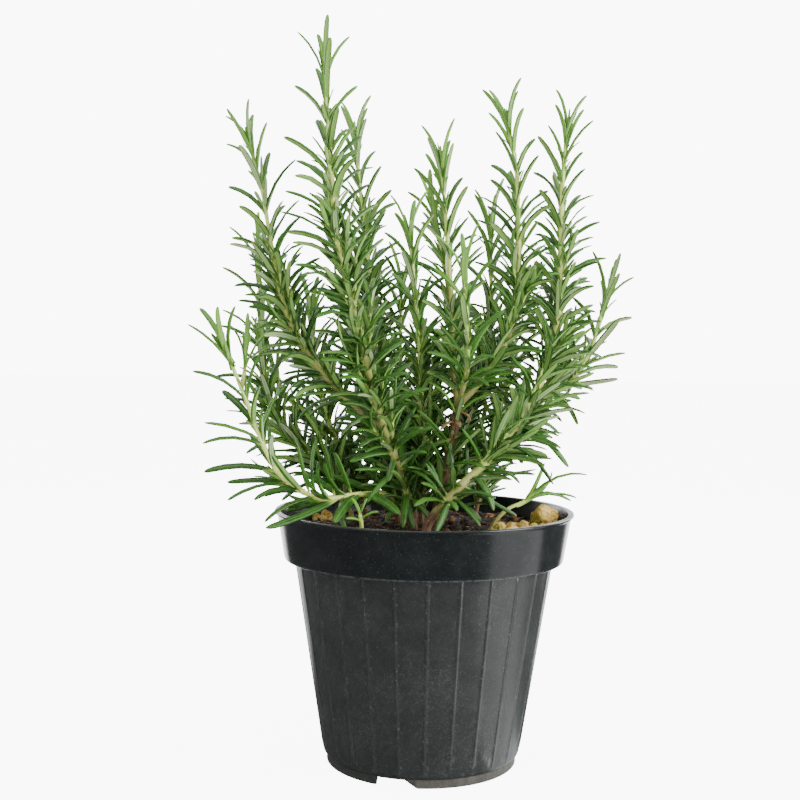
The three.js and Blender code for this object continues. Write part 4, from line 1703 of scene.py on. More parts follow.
@dataclass(eq=False)
class Line:
    """A shoot's centre line as straight steps, with the distance along it."""

    steps: Array
    along: Array

    @property
    def length(self) -> float:
        """Returns the line's whole length."""
        return float(self.along[-1])

    def at(self, distance: float) -> tuple[Array, Array]:
        """Finds a place on the line.

        Args:
            distance: how far along it.

        Returns:
            The place, and the direction towards the shoot's tip.
        """
        i = 1
        while i < len(self.along) - 1 and self.along[i] < distance:
            i += 1
        share = (distance - self.along[i - 1]) / (self.along[i] - self.along[i - 1])
        before, after = self.steps[i - 1], self.steps[i]
        return before + (after - before) * share, unit(after - before)

    @functools.cache
    def smoothed(self, pieces: int) -> tuple[Array, Array]:
        """Draws the line as a smooth curve.

        Args:
            pieces: how many straight pieces lie between two steps.

        Returns:
            The curve's points, and how far along the line each of them is.
        """
        curve = smooth_through(self.steps, pieces)
        along = distances(curve)
        return curve, along * self.length / along[-1]

    def smooth_at(self, distance: float, pieces: int) -> Array:
        """Finds a place on the smooth curve.

        Args:
            distance: how far along the line.
            pieces: how many straight pieces lie between two steps.

        Returns:
            The place.
        """
        curve, along = self.smoothed(pieces)
        return np.array([np.interp(distance, along, part) for part in curve.T])


def centre_line(shoot: Shoot) -> Line:
    """Draws a shoot's centre line in steps of about 20 mm, as in the part's source.

    Args:
        shoot: the shoot.

    Returns:
        Its line.
    """
    fine = smooth_through(np.array(shoot.points, float), 12)
    travelled = distances(fine)
    end = travelled[-1] - shoot.crown
    count = max(3, math.floor(end / 20.0 + 0.5))
    steps = [fine[0]]
    for k in range(1, count + 1):
        goal = end * k / count
        i = int(np.argmax(travelled >= goal))
        share = (goal - travelled[i - 1]) / (travelled[i] - travelled[i - 1])
        steps.append(fine[i - 1] + (fine[i] - fine[i - 1]) * share)
    rows = np.array(steps)
    return Line(rows, distances(rows))


def side_axes(ahead: Array) -> tuple[Array, Array]:
    """Returns two directions across a stem that is headed ahead."""
    side = unit(REFERENCE - ahead * float(REFERENCE @ ahead))
    return side, np.cross(ahead, side)


@dataclass
class Path:
    """The line of one leaf.

    Attributes:
        root: where it starts, in the stem.
        middle: where it bends.
        tip: where it ends.
        ahead: the direction of its stem.
        from_tip: how far it grows from the shoot's tip.
        place: where it leaves the stem's centre line.
        along: how far that is along the shoot.
        wide: the width of a leaf with a set place, or 0.
    """

    root: Array
    middle: Array
    tip: Array
    ahead: Array
    from_tip: float = 0.0
    place: Array | None = None
    along: float = 0.0
    wide: float = 0.0


def set_path(line: Line, leaf: PlacedLeaf, bend_at: float) -> Path:
    """Draws the line of a leaf with a set place.

    Args:
        line: its shoot's centre line.
        leaf: the leaf.
        bend_at: the part of it before its bend.

    Returns:
        Its line.
    """
    place, ahead = line.at(leaf.along)
    tip = np.array(leaf.tip, float)
    middle = place + (tip - place) * bend_at + UP * leaf.rise
    return Path(place, middle, tip, ahead, line.length - leaf.along, place, leaf.along, leaf.wide)


@dataclass
class Bar:
    """A straight piece of a shoot or leaf that other leaves have to miss."""

    start: Array
    end: Array
    radius: float
    node: str
    number: int


class Thicket:
    """Grows the leaves' lines by the same rule as the part's source, clear of each other.

    Attributes:
        tries: what is tried in turn when a leaf hits something: turn, lean, and length.
        leaf_room: the room that each leaf takes.
        own_room: the room between leaves of one node.
        clod_room: the room around a clod.
        clearance: the gap between nodes.
        reach_margin: how much further than its length a leaf is checked.
        taper: how a stem gets thinner.
    """

    tries = (
        (0, 0, 1), (16, 0, 1), (-16, 0, 1), (0, -11, 1), (0, 11, 1), (30, -6, 0.95),
        (-30, -6, 0.95), (0, -20, 0.88), (45, 8, 0.9), (-45, 8, 0.9), (20, 20, 0.8),
        (-20, -25, 0.75),
    )
    leaf_room = 1.2
    own_room = 0.9
    clod_room = 2.2
    clearance = 0.3
    reach_margin = 4.0
    taper = 0.8

    def __init__(self, pot: NurseryPot, bed: SoilBed, growth: Growth) -> None:
        """Keeps what the leaves have to stay clear of.

        Args:
            pot: the pot.
            bed: the soil.
            growth: the rule of their growth.
        """
        self.pot = pot
        self.bed = bed
        self.growth = growth
        self.shoots: list[tuple[str, Shoot, Line]] = []
        self.bars: list[Bar] = []
        self.table: Array = np.zeros((0, 6))
        self.grown: list[list[Path]] = []

    def radius_at(self, number: int, distance: float) -> float:
        """Works out how thick a shoot is.

        Args:
            number: the shoot's number.
            distance: how far along it.

        Returns:
            Its radius there.
        """
        _, shoot, line = self.shoots[number]
        base, tip = shoot.radius
        return tip + (base - tip) * max(0.0, 1.0 - distance / line.length) ** self.taper

    def grow(self) -> None:
        """Grows all shoots, the leaves with a set place first."""
        main = {}
        for node, parts in STEMS.items():
            main[node] = len(self.shoots)
            self.shoots += [(node, shoot, centre_line(shoot)) for shoot in parts]
        for number, (node, _, line) in enumerate(self.shoots):
            for i in range(1, len(line.steps)):
                radius = self.radius_at(number, float(line.along[i - 1]))
                self.bars.append(Bar(line.steps[i - 1], line.steps[i], radius, node, number))
        self.grown = [[] for _ in self.shoots]
        for node, leaves in PLACED_LEAVES.items():
            line = self.shoots[main[node]][2]
            for leaf in leaves:
                self._keep(main[node], set_path(line, leaf, self.growth.bend_at))
        for number in range(len(self.shoots)):
            for path in self._grow_shoot(number, self.bars[:]):
                self._keep(number, path)

    def _keep(self, number: int, path: Path) -> None:
        """Adds a leaf and what others have to miss of it.

        Args:
            number: its shoot's number.
            path: its line.
        """
        node = self.shoots[number][0]
        self.grown[number].append(path)
        for start, end in ((path.root, path.middle), (path.middle, path.tip)):
            self.bars.append(Bar(start, end, self.leaf_room, node, number))

    def _grow_shoot(self, number: int, bars: list[Bar]) -> list[Path]:
        """Grows the pairs of one shoot from its tip down.

        Args:
            number: the shoot's number.
            bars: what its leaves have to miss.

        Returns:
            The lines of its leaves.
        """
        node, shoot, line = self.shoots[number]
        rule = self.growth
        dice = Dice(1009 * number + 17)
        paths = []
        from_tip = rule.first_pair
        pair = 0
        while from_tip < line.length - shoot.bare:
            age = 1.0 - math.exp(-from_tip / rule.ageing)
            along = line.length - from_tip
            place, ahead = line.at(along)
            sunk = self.radius_at(number, along) * rule.sunk
            pair_turn = shoot.turn + 90.0 * pair + dice.spread(rule.pair_turn_spread)
            for half in range(2):
                turn = pair_turn + 180.0 * half + dice.spread(rule.turn_spread)
                lean_spread = rule.tip_lean_spread + rule.lean_spread_gain * age
                lean = rule.tip_lean + rule.lean_gain * age + dice.spread(lean_spread)
                bend = rule.bend + dice.spread(rule.bend_spread)
                length = rule.length * (1.0 + dice.spread(rule.length_spread))
                droop = rule.droop * age * dice.roll()
                for add_turn, add_lean, shorten in self.tries:
                    path = leaf_path(
                        place, ahead, sunk, turn + add_turn, lean + add_lean, bend, length * shorten,
                        droop, rule.bend_at,
                    )
                    if self._free(path, node, number, bars):
                        path.from_tip, path.place, path.along = from_tip, place, along
                        paths.append(path)
                        break
            stretched = 1.0 - math.exp(-from_tip / rule.stretching)
            crowded = float(ease(from_tip, rule.crowded_from, rule.crowded))
            spacing = rule.spacing_at_tip + (rule.spacing - rule.spacing_at_tip) * stretched
            from_tip += spacing + (rule.spacing_crowded - spacing) * crowded
            pair += 1
        return paths

    def hits_solid(self, places: Array) -> Array:
        """Tells which places lie in or close to the pot, the soil or a clod.

        Args:
            places: one row for each place.

        Returns:
            True for each place that isn't free.
        """
        radius = np.hypot(places[:, 0], places[:, 1])
        rim = self.pot.rim_radius
        near_rim = (radius > rim - 6.0) & (radius < rim + 2.0)
        rim_top = self.pot.height + self.leaf_room + self.clearance
        soil_top = self.bed.height(places[:, 0], places[:, 1]) + self.leaf_room + self.bed.relief
        hit = (near_rim & (places[:, 2] < rim_top)) | ((radius < rim) & (places[:, 2] < soil_top))
        for clod in CLODS:
            away = np.linalg.norm(places - np.array(clod.centre, float), axis=1)
            hit |= away < clod.size[0] + self.clod_room
        return hit

    def _free(self, path: Path, node: str, number: int, bars: list[Bar]) -> bool:
        """Tells whether a leaf misses the pot, the soil, the clods and the other shoots.

        Args:
            path: the leaf's line.
            node: the CAD node that it belongs to.
            number: its shoot.
            bars: what it has to miss.

        Returns:
            True if it does.
        """
        shares = np.array([1 / 3, 2 / 3, 1.0])[:, None]
        near = path.root + (path.middle - path.root) * shares
        far = path.middle + (path.tip - path.middle) * shares
        if self.hits_solid(np.vstack([near, far])).any():
            return False
        if len(self.table) != len(bars):
            self.table = np.array([[*bar.start, *bar.end] for bar in bars])
            self.numbers, self.radii, self.nodes = (
                np.array([getattr(bar, name) for bar in bars]) for name in ("number", "radius", "node")
            )
        starts, ends = self.table[:, :3], self.table[:, 3:]
        reach = np.linalg.norm(path.tip - path.root) + self.reach_margin
        halves = np.linalg.norm(ends - starts, axis=1) / 2
        close = np.linalg.norm((starts + ends) / 2 - path.root, axis=1) <= reach + halves
        close &= self.numbers != number
        room = np.where(self.nodes == node, self.own_room, self.leaf_room + self.clearance)
        starts, ends, room = starts[close], ends[close], (self.radii + room)[close]
        for first, last in ((path.root, path.middle), (path.middle, path.tip)):
            if (apart(first, last, starts, ends) <= room).any():
                return False
        return True


def leaf_path(
    place: Array, ahead: Array, sunk: float, turn: float, lean: float, bend: float,
    length: float, droop: float, bend_at: float,
) -> Path:
    """Draws the line of one leaf.

    Args:
        place: where it grows on the stem.
        ahead: the direction of the stem.
        sunk: how deep its root lies in the stem.
        turn: its turn around the stem.
        lean: its angle from the stem.
        bend: how far it bends away in its middle.
        length: its length.
        droop: how much it hangs.
        bend_at: the part of it before the bend.

    Returns:
        Its line.
    """
    side, across = side_axes(ahead)
    angle = math.radians(turn)
    out = side * math.cos(angle) + across * math.sin(angle)

    def way(degrees: float, fall: float) -> Array:
        """Returns a direction at an angle from the stem, pulled down by fall."""
        bent = math.radians(degrees)
        return unit(ahead * math.cos(bent) + out * math.sin(bent) - UP * fall)

    start = way(lean, 0.0)
    root = place - start * (sunk / math.sin(math.radians(lean)))
    middle = place + start * length * bend_at
    tip = middle + way(lean + bend, droop) * length * (1.0 - bend_at)
    return Path(root, middle, tip, ahead)


def apart(a: Array, b: Array, c: Array, d: Array) -> Array:
    """Measures how far a straight piece is from others.

    Args:
        a: where the piece starts.
        b: where it ends.
        c: where the others start, one row each.
        d: where the others end.

    Returns:
        The shortest distance to each.
    """
    u = b - a
    v = d - c
    w = a - c
    uu = float(u @ u)
    vv = np.sum(v * v, axis=1)
    uv = v @ u
    uw = w @ u
    vw = np.sum(v * w, axis=1)
    spread = uu * vv - uv * uv
    s = np.where(spread > 1e-9, np.clip((uv * vw - vv * uw) / np.maximum(spread, 1e-12), 0, 1), 0)
    t = np.clip((uv * s + vw) / vv, 0, 1)
    s = np.clip((uv * t - uw) / uu, 0, 1)
    return np.linalg.norm(w + u[None] * s[:, None] - v * t[:, None], axis=1)


# Leaves and stems


@dataclass
class Leaf:
    """One leaf, ready to be given a surface.

    Attributes:
        path: its line.
        facing: the direction that its glossy side faces.
        half_width: half its width.
        age: from 0, young, to 1, full-grown; 2 is dry.
        tone: how deep its green is.
        pale: how white its felt is.
        twist: how far it turns about itself, from root to tip.
        roll: how far it is turned all along.
        sway: how far its middle goes sideways.
    """

    path: Path
    facing: Array
    half_width: float
    age: float
    tone: float
    pale: float
    twist: float
    roll: float
    sway: float


@dataclass(frozen=True)
class LeafForm:
    """The blade that all leaves share: a narrow strip with rolled edges and a grooved top.

    Attributes:
        section: points around it: across, up, and how felted, in half widths.
        rings: places along it with their width.
        middle_at: where along it the middle point lies.
        thickness: how thick the section is drawn.
    """

    section: tuple[Point, ...] = (
        (-1.0, -0.05, 0.0), (-0.55, 0.28, 0.0), (0.0, 0.08, 0.0), (0.55, 0.28, 0.0),
        (1.0, -0.05, 0.0), (0.74, -0.34, 0.1), (0.42, -0.12, 1.0), (0.0, -0.27, 0.8),
        (-0.42, -0.12, 1.0), (-0.74, -0.34, 0.1),
    )
    rings: tuple[tuple[float, float], ...] = (
        (0.0, 0.45), (0.06, 0.6), (0.16, 0.86), (0.3, 1.0), (0.52, 1.0), (0.74, 0.97),
        (0.88, 0.86), (0.955, 0.66), (0.99, 0.38), (1.0, 0.12),
    )
    middle_at: float = 0.42
    thickness: float = 1.35

    def skin(self, leaves: Sequence[Leaf], finish: int) -> Skin:
        """Gives leaves their surface.

        Args:
            leaves: the leaves.
            finish: which of the piece's materials they take.

        Returns:
            One surface for all.
        """
        shape = np.array(self.section)
        share_at, wide = np.array(self.rings).T
        count, around, length = len(leaves), len(shape), len(share_at)
        root, middle, tip = (
            np.array([getattr(leaf.path, name) for leaf in leaves]) for name in ("root", "middle", "tip")
        )
        facing = np.array([leaf.facing for leaf in leaves])
        names = ("half_width", "sway", "roll", "twist")
        width, sway, roll, twist = (
            np.array([getattr(leaf, name) for leaf in leaves])[:, None] for name in names
        )
        share = self.middle_at
        control = middle - root * (1 - share) ** 2 - tip * share**2
        control = control / (2 * share * (1 - share))
        control = control + unit(np.cross(unit(tip - root), facing)) * sway
        t = share_at[None, :, None]
        line = root[:, None] * (1 - t) ** 2 + control[:, None] * 2 * t * (1 - t) + tip[:, None] * t**2
        way = unit((control - root)[:, None] * (1 - t) + (tip - control)[:, None] * t)
        reference = np.broadcast_to(facing[:, None], way.shape)
        top = unit(reference - way * np.sum(reference * way, axis=2, keepdims=True))
        top = spin_rows(top, way, roll + twist * share_at[None])
        width = (width * wide[None])[:, :, None, None]
        side = width * shape[:, 0][None, None, :, None]
        rise = width * self.thickness * shape[:, 1][None, None, :, None]
        points = line[:, :, None] + np.cross(way, top)[:, :, None] * side + top[:, :, None] * rise
        blade = np.empty((count, length, around, 3))
        blade[..., 0] = shape[:, 0]
        blade[..., 1] = share_at[None, :, None]
        blade[..., 2] = shape[:, 2]
        growth = np.array([[leaf.age, leaf.tone, leaf.pale] for leaf in leaves])
        growth = np.broadcast_to(growth[:, None, None], blade.shape)
        each = around * length
        starts = each * np.arange(count)[:, None, None]
        parts = (ring_faces(length, around)[:, ::-1], cap_faces(each - around, around, True))
        faces = [((part[None] + starts).reshape(-1, part.shape[1]), finish) for part in parts]
        values = {"blade": blade.reshape(-1, 3), "growth": growth.reshape(-1, 3)}
        return Skin(points.reshape(-1, 3), faces, values)


SMALL_LEAF = LeafForm(
    section=(
        (-1.0, -0.08, 0.0), (-0.5, 0.27, 0.0), (0.0, 0.1, 0.0), (0.5, 0.27, 0.0),
        (1.0, -0.08, 0.0), (0.6, -0.28, 0.5), (0.0, -0.22, 1.0), (-0.6, -0.28, 0.5),
    ),
    rings=(
        (0.0, 0.45), (0.12, 0.75), (0.32, 1.0), (0.66, 0.98), (0.88, 0.8), (0.97, 0.48),
        (1.0, 0.14),
    ),
)


@dataclass(frozen=True)
class StemForm:
    """How a stem is drawn: fine rings, swollen where leaves grow, rough where it is woody.

    Attributes:
        pieces: how many rings there are between two steps of its line.
        rooted_below: a stem that starts under this height is rooted.
        woody_foot: the length of a rooted stem that is woody.
        woody_from: the radius from which that holds.
        ripe_from: the radius from which a rooted stem turns olive above its woody foot.
        ripe_heights: between which heights that happens, as depths.
        slim: its radius as a share of the CAD model's.
        twig_rings: places along a branchlet's stem with their radius.
    """

    sides: int = 12
    twig_sides: int = 6
    pieces: int = 12
    swelling: float = 0.2
    swelling_length: float = 1.3
    roughness: float = 0.1
    rooted_below: float = 100.0
    woody_foot: float = 36.0
    woody_from: float = 1.35
    ripe_from: float = 1.55
    ripe_heights: tuple[float, float] = (-166.0, -124.0)
    slim: float = 0.94
    twig_rings: tuple[tuple[float, float], ...] = ((-0.1, 0.62), (0.35, 0.55), (0.7, 0.45), (1.0, 0.25))

    def _wood(self, shoot: Shoot, line: Line, heights: Array, along: Array) -> Array:
        """Works out how woody a stem is.

        Args:
            shoot: the shoot.
            line: its centre line.
            heights: how high each of its rings is.
            along: how far along it each ring is.

        Returns:
            From 0, green, to 1, bark, for each ring.
        """
        if shoot.wood > 1.0:
            return np.ones_like(along)
        wood = np.clip(shoot.wood * (1 - along / line.length) * 1.6, 0.0, 1.0)
        if shoot.points[0][2] >= self.rooted_below:
            return wood
        if shoot.radius[0] > self.woody_from:
            wood = np.maximum(wood, 0.95 * ease(self.woody_foot - along, 0.0, 14.0))
        if shoot.radius[0] > self.ripe_from:
            wood = np.maximum(wood, 0.4 * ease(-heights, *self.ripe_heights))
        return wood

    def skin(self, thicket: Thicket, number: int, finish: int) -> Skin:
        """Gives one shoot's stem its surface.

        Args:
            thicket: the grown bush.
            number: the shoot's number.
            finish: which of the piece's materials it takes.

        Returns:
            Its surface.
        """
        _, shoot, line = thicket.shoots[number]
        steps, along = line.smoothed(self.pieces)
        ahead = unit(np.gradient(steps, axis=0))
        joints = np.array(sorted({path.along for path in thicket.grown[number]}) or [0.0])
        away = np.abs(along[:, None] - joints[None]).min(axis=1)
        joint = np.exp(-((away / self.swelling_length) ** 2))
        radius = np.array([thicket.radius_at(number, float(d)) for d in along]) * self.slim
        wood = self._wood(shoot, line, steps[:, 2], along)
        round_it = circle(self.sides)
        side = unit(REFERENCE[None] - ahead * (ahead @ REFERENCE)[:, None])
        axes = np.stack([side, np.cross(ahead, side)], axis=1)
        out = round_it @ axes
        place = steps[:, None] + out * radius[:, None, None]
        rough = rough_noise(place.reshape(-1, 3), 2.2, 11, 3).reshape(radius.size, -1)
        square = 1 + 0.06 * np.cos(8 * np.pi * np.arange(self.sides) / self.sides)[None]
        thick = radius[:, None] * square * (1 + self.swelling * joint[:, None])
        thick = thick * (1 + self.roughness * rough * (0.35 + wood[:, None]))
        thick[-3:] = thick[-3:] * (0.35 + 0.65 * np.linspace(1.0, 0.0, 3)[:, None])
        points = steps[:, None] + out * thick[..., None]
        old = ease((line.length - along) / 90.0, 0.0, 1.0)
        bark = np.repeat(np.stack([wood, joint, old], axis=1)[:, None], self.sides, axis=1)
        grain = np.empty((*thick.shape, 3))
        grain[..., :2] = round_it
        grain[..., 2] = 0.1 * along[:, None]
        values = {"bark": bark.reshape(-1, 3), "bark_place": grain.reshape(-1, 3)}
        return Skin(points.reshape(-1, 3), tube_faces(len(steps), self.sides, finish), values)

    def twig_skin(self, twigs: Sequence[tuple[Array, Array]], finish: int) -> Skin:
        """Gives the branchlets' stems their surface.

        Args:
            twigs: the two ends of each.
            finish: which of the piece's materials they take.

        Returns:
            One surface for all.
        """
        sides, rings = self.twig_sides, len(self.twig_rings)
        end_cap = cap_faces((rings - 1) * sides, sides, False)
        faces = [(ring_faces(rings, sides), finish), (end_cap, finish)]
        skins = []
        for start, end in twigs:
            out = circle(sides) @ np.stack(side_axes(unit(end - start)))
            points = [start + (end - start) * share + out * radius for share, radius in self.twig_rings]
            values = np.tile([0.0, 0.15, 0.25], (rings * sides, 1))
            grain = np.tile([0.0, 1.0, float(start[2]) * 0.1], (rings * sides, 1))
            skins.append(Skin(np.concatenate(points), faces, {"bark": values, "bark_place": grain}))
        return join_skins(skins)


@dataclass
class RosemaryBush:
    """The bush: each leafy stem of the CAD model as one piece of fine stems and leaves.

    Attributes:
        thicket: the grown lines of the CAD model's leaves.
        half_widths: half the width of a young and of a full-grown leaf.
        tuft_from: how far from the tip the tufts in the leaf axils begin.
        tuft_growth: over what distance they grow to full length.
        between_from: how far from the tip the leaves between the CAD model's begin.
        between_full: how far from the tip they are at their densest.
        between_share: how many of them are there then.
        parted: how many of these and of the tufts are missing where they would hide the stem.
        parting: how straight a leaf has to point to the front to be one of those.
        parted_from: the height from which that holds.
        open: the CAD nodes for which it holds at every height.
        sparse: the CAD nodes that bear only a share of these leaves.
        bare_foot: the length of a rooted stem that stays bare.
        low: leaves that grow lower than this rise, so as to stay clear of the soil.
        low_age: how old the leaves that hang low in front are.
        leafy: the CAD nodes inside and behind, whose leaves stand closer by leafy_step.
    """

    thicket: Thicket
    form: LeafForm = field(default_factory=LeafForm)
    stem: StemForm = field(default_factory=StemForm)
    half_widths: tuple[float, float] = (1.18, 1.7)
    tuft_from: float = 11.0
    tuft_growth: float = 110.0
    branchlet_length: float = 30.0
    between_from: float = 34.0
    between_full: float = 80.0
    between_share: float = 0.95
    parted: float = 0.85
    parting: float = 0.7
    parted_from: float = 134.0
    open: tuple[str, ...] = ("leafy_stem_low_left", "leafy_stem_right")
    sparse: tuple[str, ...] = ("leafy_stem_low_left",)
    sparse_share: float = 0.35
    bare_foot: float = 21.0
    low: float = 136.0
    low_age: float = 0.6
    leafy: tuple[str, ...] = (
        "leafy_stem_behind",
        "leafy_stem_middle",
        "leafy_stem_back_left",
        "leafy_stem_back",
        "leafy_stem_back_right",
    )
    leafy_step: float = 0.6

    def _leaf(
        self, path: Path, facing: Array, wide: float, age: float, dice: Dice,
        turns: tuple[float, float, float] = (1.2, 0.6, 1.6),
    ) -> Leaf:
        """Makes a leaf on a line.

        Args:
            path: the line.
            facing: the direction that its glossy side faces.
            wide: its width as a share of a usual leaf's.
            age: how old it is.
            dice: where the chance comes from.
            turns: how far it may twist, roll and sway.

        Returns:
            The leaf.
        """
        young, old = self.half_widths
        half_width = (young + (old - young) * min(1.0, age)) * wide
        tone, pale = dice.roll(), dice.roll() ** 4
        return Leaf(path, facing, half_width, age, tone, pale, *(dice.spread(turn) for turn in turns))

    def _main_leaf(self, path: Path, shift: Array, dice: Dice) -> Leaf:
        """Makes the full-size leaf on a line of the CAD model.

        Args:
            path: the line.
            shift: how far the smooth stem lies beside it.
            dice: where the chance comes from.

        Returns:
            The leaf.
        """
        age = 1.0 - math.exp(-path.from_tip / 26.0)
        wide = dice.between(0.84, 1.12)
        facing = unit(path.ahead + LIGHT_SIDE) if path.wide else path.ahead
        line = Path(path.root + shift, path.middle + shift, path.tip, path.ahead)
        return self._leaf(line, facing, path.wide or wide, age, dice, (1.2 * (0.3 + age), 0.5, 2.2))

    def _branchlet(
        self, path: Path, shift: Array, dice: Dice
    ) -> tuple[list[Leaf], tuple[Array, Array] | None]:
        """Makes the short shoot in the axil of a leaf, longer the further it is from the tip.

        Args:
            path: the leaf's line.
            shift: how far the smooth stem lies beside it.
            dice: where the chance comes from.

        Returns:
            The branchlet's leaves, and the two ends of its stem if that is long enough to show.
        """
        reach = min(1.0, max(0.0, (path.from_tip - self.tuft_from) / self.tuft_growth))
        axis = unit(path.ahead + 0.5 * unit(path.middle - path.place))
        start = path.place + shift + axis * 0.8
        long = 1.0 + self.branchlet_length * reach * dice.roll() ** 1.5
        pairs = 1 + int(long / 4.4 + 0.6 * dice.roll())
        leaves = []
        first_turn = 360.0 * dice.roll()
        for pair in range(pairs):
            share = pair / (pairs - 1) if pairs > 1 else 1.0
            place = start + axis * long * share
            for half in range(2):
                lean = dice.between(6.0, 20.0) + 32.0 * (1.0 - share) * reach
                length = dice.between(7.0, 13.0) + 14.0 * reach * dice.roll()
                turn = first_turn + 90.0 * pair + 180.0 * half + dice.spread(40.0)
                bend = dice.between(6.0, 26.0)
                line = leaf_path(place, axis, 0.4, turn, lean, bend, length, 0.12 * dice.roll(), 0.4)
                age = 0.2 + 0.65 * reach * (1.0 - 0.5 * share) * dice.between(0.6, 1.2)
                wide = dice.between(0.5, 0.75) + 0.25 * reach
                leaves.append(self._leaf(line, axis, wide, age, dice))
        return leaves, (start, start + axis * long) if long > 3.0 else None

    def _between(self, number: int, dice: Dice) -> list[Leaf]:
        """Makes the full-size leaves that the CAD model leaves out, down to a stem's bare foot.

        Args:
            number: the shoot's number.
            dice: where the chance comes from.

        Returns:
            The leaves.
        """
        node, shoot, line = self.thicket.shoots[number]
        rooted = shoot.points[0][2] < self.stem.rooted_below
        foot = min(shoot.bare, self.bare_foot) if rooted else 3.0
        densest = self.sparse_share if node in self.sparse else self.between_share
        leaves = []
        from_tip = self.between_from
        turn = shoot.turn + 45.0
        while from_tip < line.length - foot:
            where = line.length - from_tip
            place = line.smooth_at(where, self.stem.pieces)
            ahead = line.at(where)[1]
            age = 1.0 - math.exp(-from_tip / 55.0)
            sunk = 0.75 * self.thicket.radius_at(number, where)
            share = densest * float(ease(from_tip, self.between_from - 30.0, self.between_full))
            turn += 90.0 + dice.spread(30.0)
            for half in range(2):
                lean = 10.0 + 42.0 * age + dice.spread(14.0)
                droop = 0.22 * age * dice.roll()
                if place[2] < self.low:
                    lean, droop = 0.7 * lean, 0.0
                side = turn + 180.0 * half + dice.spread(24.0)
                bend, length = dice.between(12.0, 30.0), dice.between(20.0, 29.0)
                path = leaf_path(place, ahead, sunk, side, lean, bend, length, droop, 0.4)
                if dice.roll() < share and not self._hides(node, path, dice):
                    leaves.append(self._leaf(path, ahead, dice.between(0.85, 1.15), age, dice))
            from_tip += dice.between(3.2, 6.0) * (self.leafy_step if node in self.leafy else 1.0)
        return leaves

    def _hides(self, node: str, line: Path, dice: Dice) -> bool:
        """Tells whether a leaf is one of those that are missing in front of a stem.

        Args:
            node: the CAD node that it belongs to.
            line: its line.
            dice: where the chance comes from.

        Returns:
            True if it is.
        """
        out = line.middle - line.root
        out = unit(out - line.ahead * float(out @ line.ahead))
        parted = node in self.open or line.root[2] > self.parted_from
        hidden = -out[1] > self.parting and parted
        return dice.roll() < self.parted and (hidden or out[2] < -self.parting)

    def _bud(self, number: int, dice: Dice) -> list[Leaf]:
        """Makes the youngest leaves, upright at the tip of a shoot.

        Args:
            number: the shoot's number.
            dice: where the chance comes from.

        Returns:
            The leaves.
        """
        _, shoot, line = self.thicket.shoots[number]
        if shoot.crown == 0.0:
            return []
        place, ahead = line.at(line.length)
        leaves = []
        for k in range(4):
            turn = shoot.turn + 45.0 + 90.0 * k + dice.spread(30.0)
            lean, bend, length = (dice.between(*ends) for ends in ((3.0, 8.0), (2.0, 14.0), (9.0, 17.0)))
            path = leaf_path(place - ahead, ahead, 0.3, turn, lean, bend, length, 0.0, 0.4)
            leaves.append(self._leaf(path, ahead, dice.between(0.5, 0.75), 0.0, dice))
        return leaves

    def _low_leaves(self, number: int, dice: Dice) -> list[Leaf]:
        """Makes the leaves with a set place that hang low in front, and the dry ones.

        Args:
            number: the shoot's number.
            dice: where the chance comes from.

        Returns:
            The leaves.
        """
        node, shoot, line = self.thicket.shoots[number]
        if shoot is not STEMS[node][0]:
            return []
        leaves = []
        for path in (set_path(line, low, 0.45) for low in LOW_LEAVES.get(node, ())):
            facing = unit(path.ahead + LIGHT_SIDE)
            leaves.append(self._leaf(path, facing, path.wide, self.low_age, dice))
        if shoot.wood > 1.0:
            for path in (set_path(line, dry, 0.5) for dry in DRY_LEAVES):
                leaves.append(self._leaf(path, path.ahead, 0.8, 2.0, dice))
        return leaves

    def _leaves(self, number: int) -> tuple[list[Leaf], list[Leaf], list[tuple[Array, Array]]]:
        """Makes all leaves of one shoot that stay clear of the pot, the soil and the clods.

        Args:
            number: the shoot's number.

        Returns:
            Its full-size leaves, its small ones, and the two ends of each branchlet's stem.
        """
        dice = Dice(7919 * number + 101)
        node, _, line = self.thicket.shoots[number]
        large = []
        small = self._bud(number, dice) + self._between(number, dice)
        small += self._low_leaves(number, Dice(31 * number + 7))
        twigs = []
        for path in self.thicket.grown[number]:
            shift = line.smooth_at(path.along, self.stem.pieces) - path.place
            large.append(self._main_leaf(path, shift, dice))
            full = node not in self.sparse or dice.roll() < self.sparse_share
            if full and path.from_tip > self.tuft_from and not self._hides(node, path, dice):
                tuft, twig = self._branchlet(path, shift, dice)
                small += tuft
                if twig is not None:
                    twigs.append(twig)
        return large, [leaf for leaf in small if self._is_clear(leaf.path)], twigs

    def _is_clear(self, path: Path) -> bool:
        """Tells whether a leaf stays clear of the pot, the soil and the clods."""
        places = (path.middle, (path.middle + path.tip) / 2, path.tip)
        return not self.thicket.hits_solid(np.array(places)).any()

    def build(
        self, leaf: bpy.types.Material, bark: bpy.types.Material
    ) -> dict[str, bpy.types.Object]:
        """Makes one piece for each leafy stem.

        Args:
            leaf: the leaves' finish.
            bark: the stems' finish.

        Returns:
            The pieces by the CAD node that they replace.
        """
        pieces = {}
        for node in STEMS:
            numbers = [n for n, entry in enumerate(self.thicket.shoots) if entry[0] == node]
            skins = [self.stem.skin(self.thicket, number, 1) for number in numbers]
            count = 0
            for number in numbers:
                large, small, twigs = self._leaves(number)
                count += len(large) + len(small)
                for form, found in ((self.form, large), (SMALL_LEAF, small)):
                    if found:
                        skins.append(form.skin(found, 0))
                if twigs:
                    skins.append(self.stem.twig_skin(twigs, 1))
            name = node.replace("leafy_", "rosemary_")
            pieces[node] = make_object(name, join_skins(skins), [leaf, bark])
            log.info("%s: %d shoots, %d leaves", name, len(numbers), count)
        return pieces


# The studio


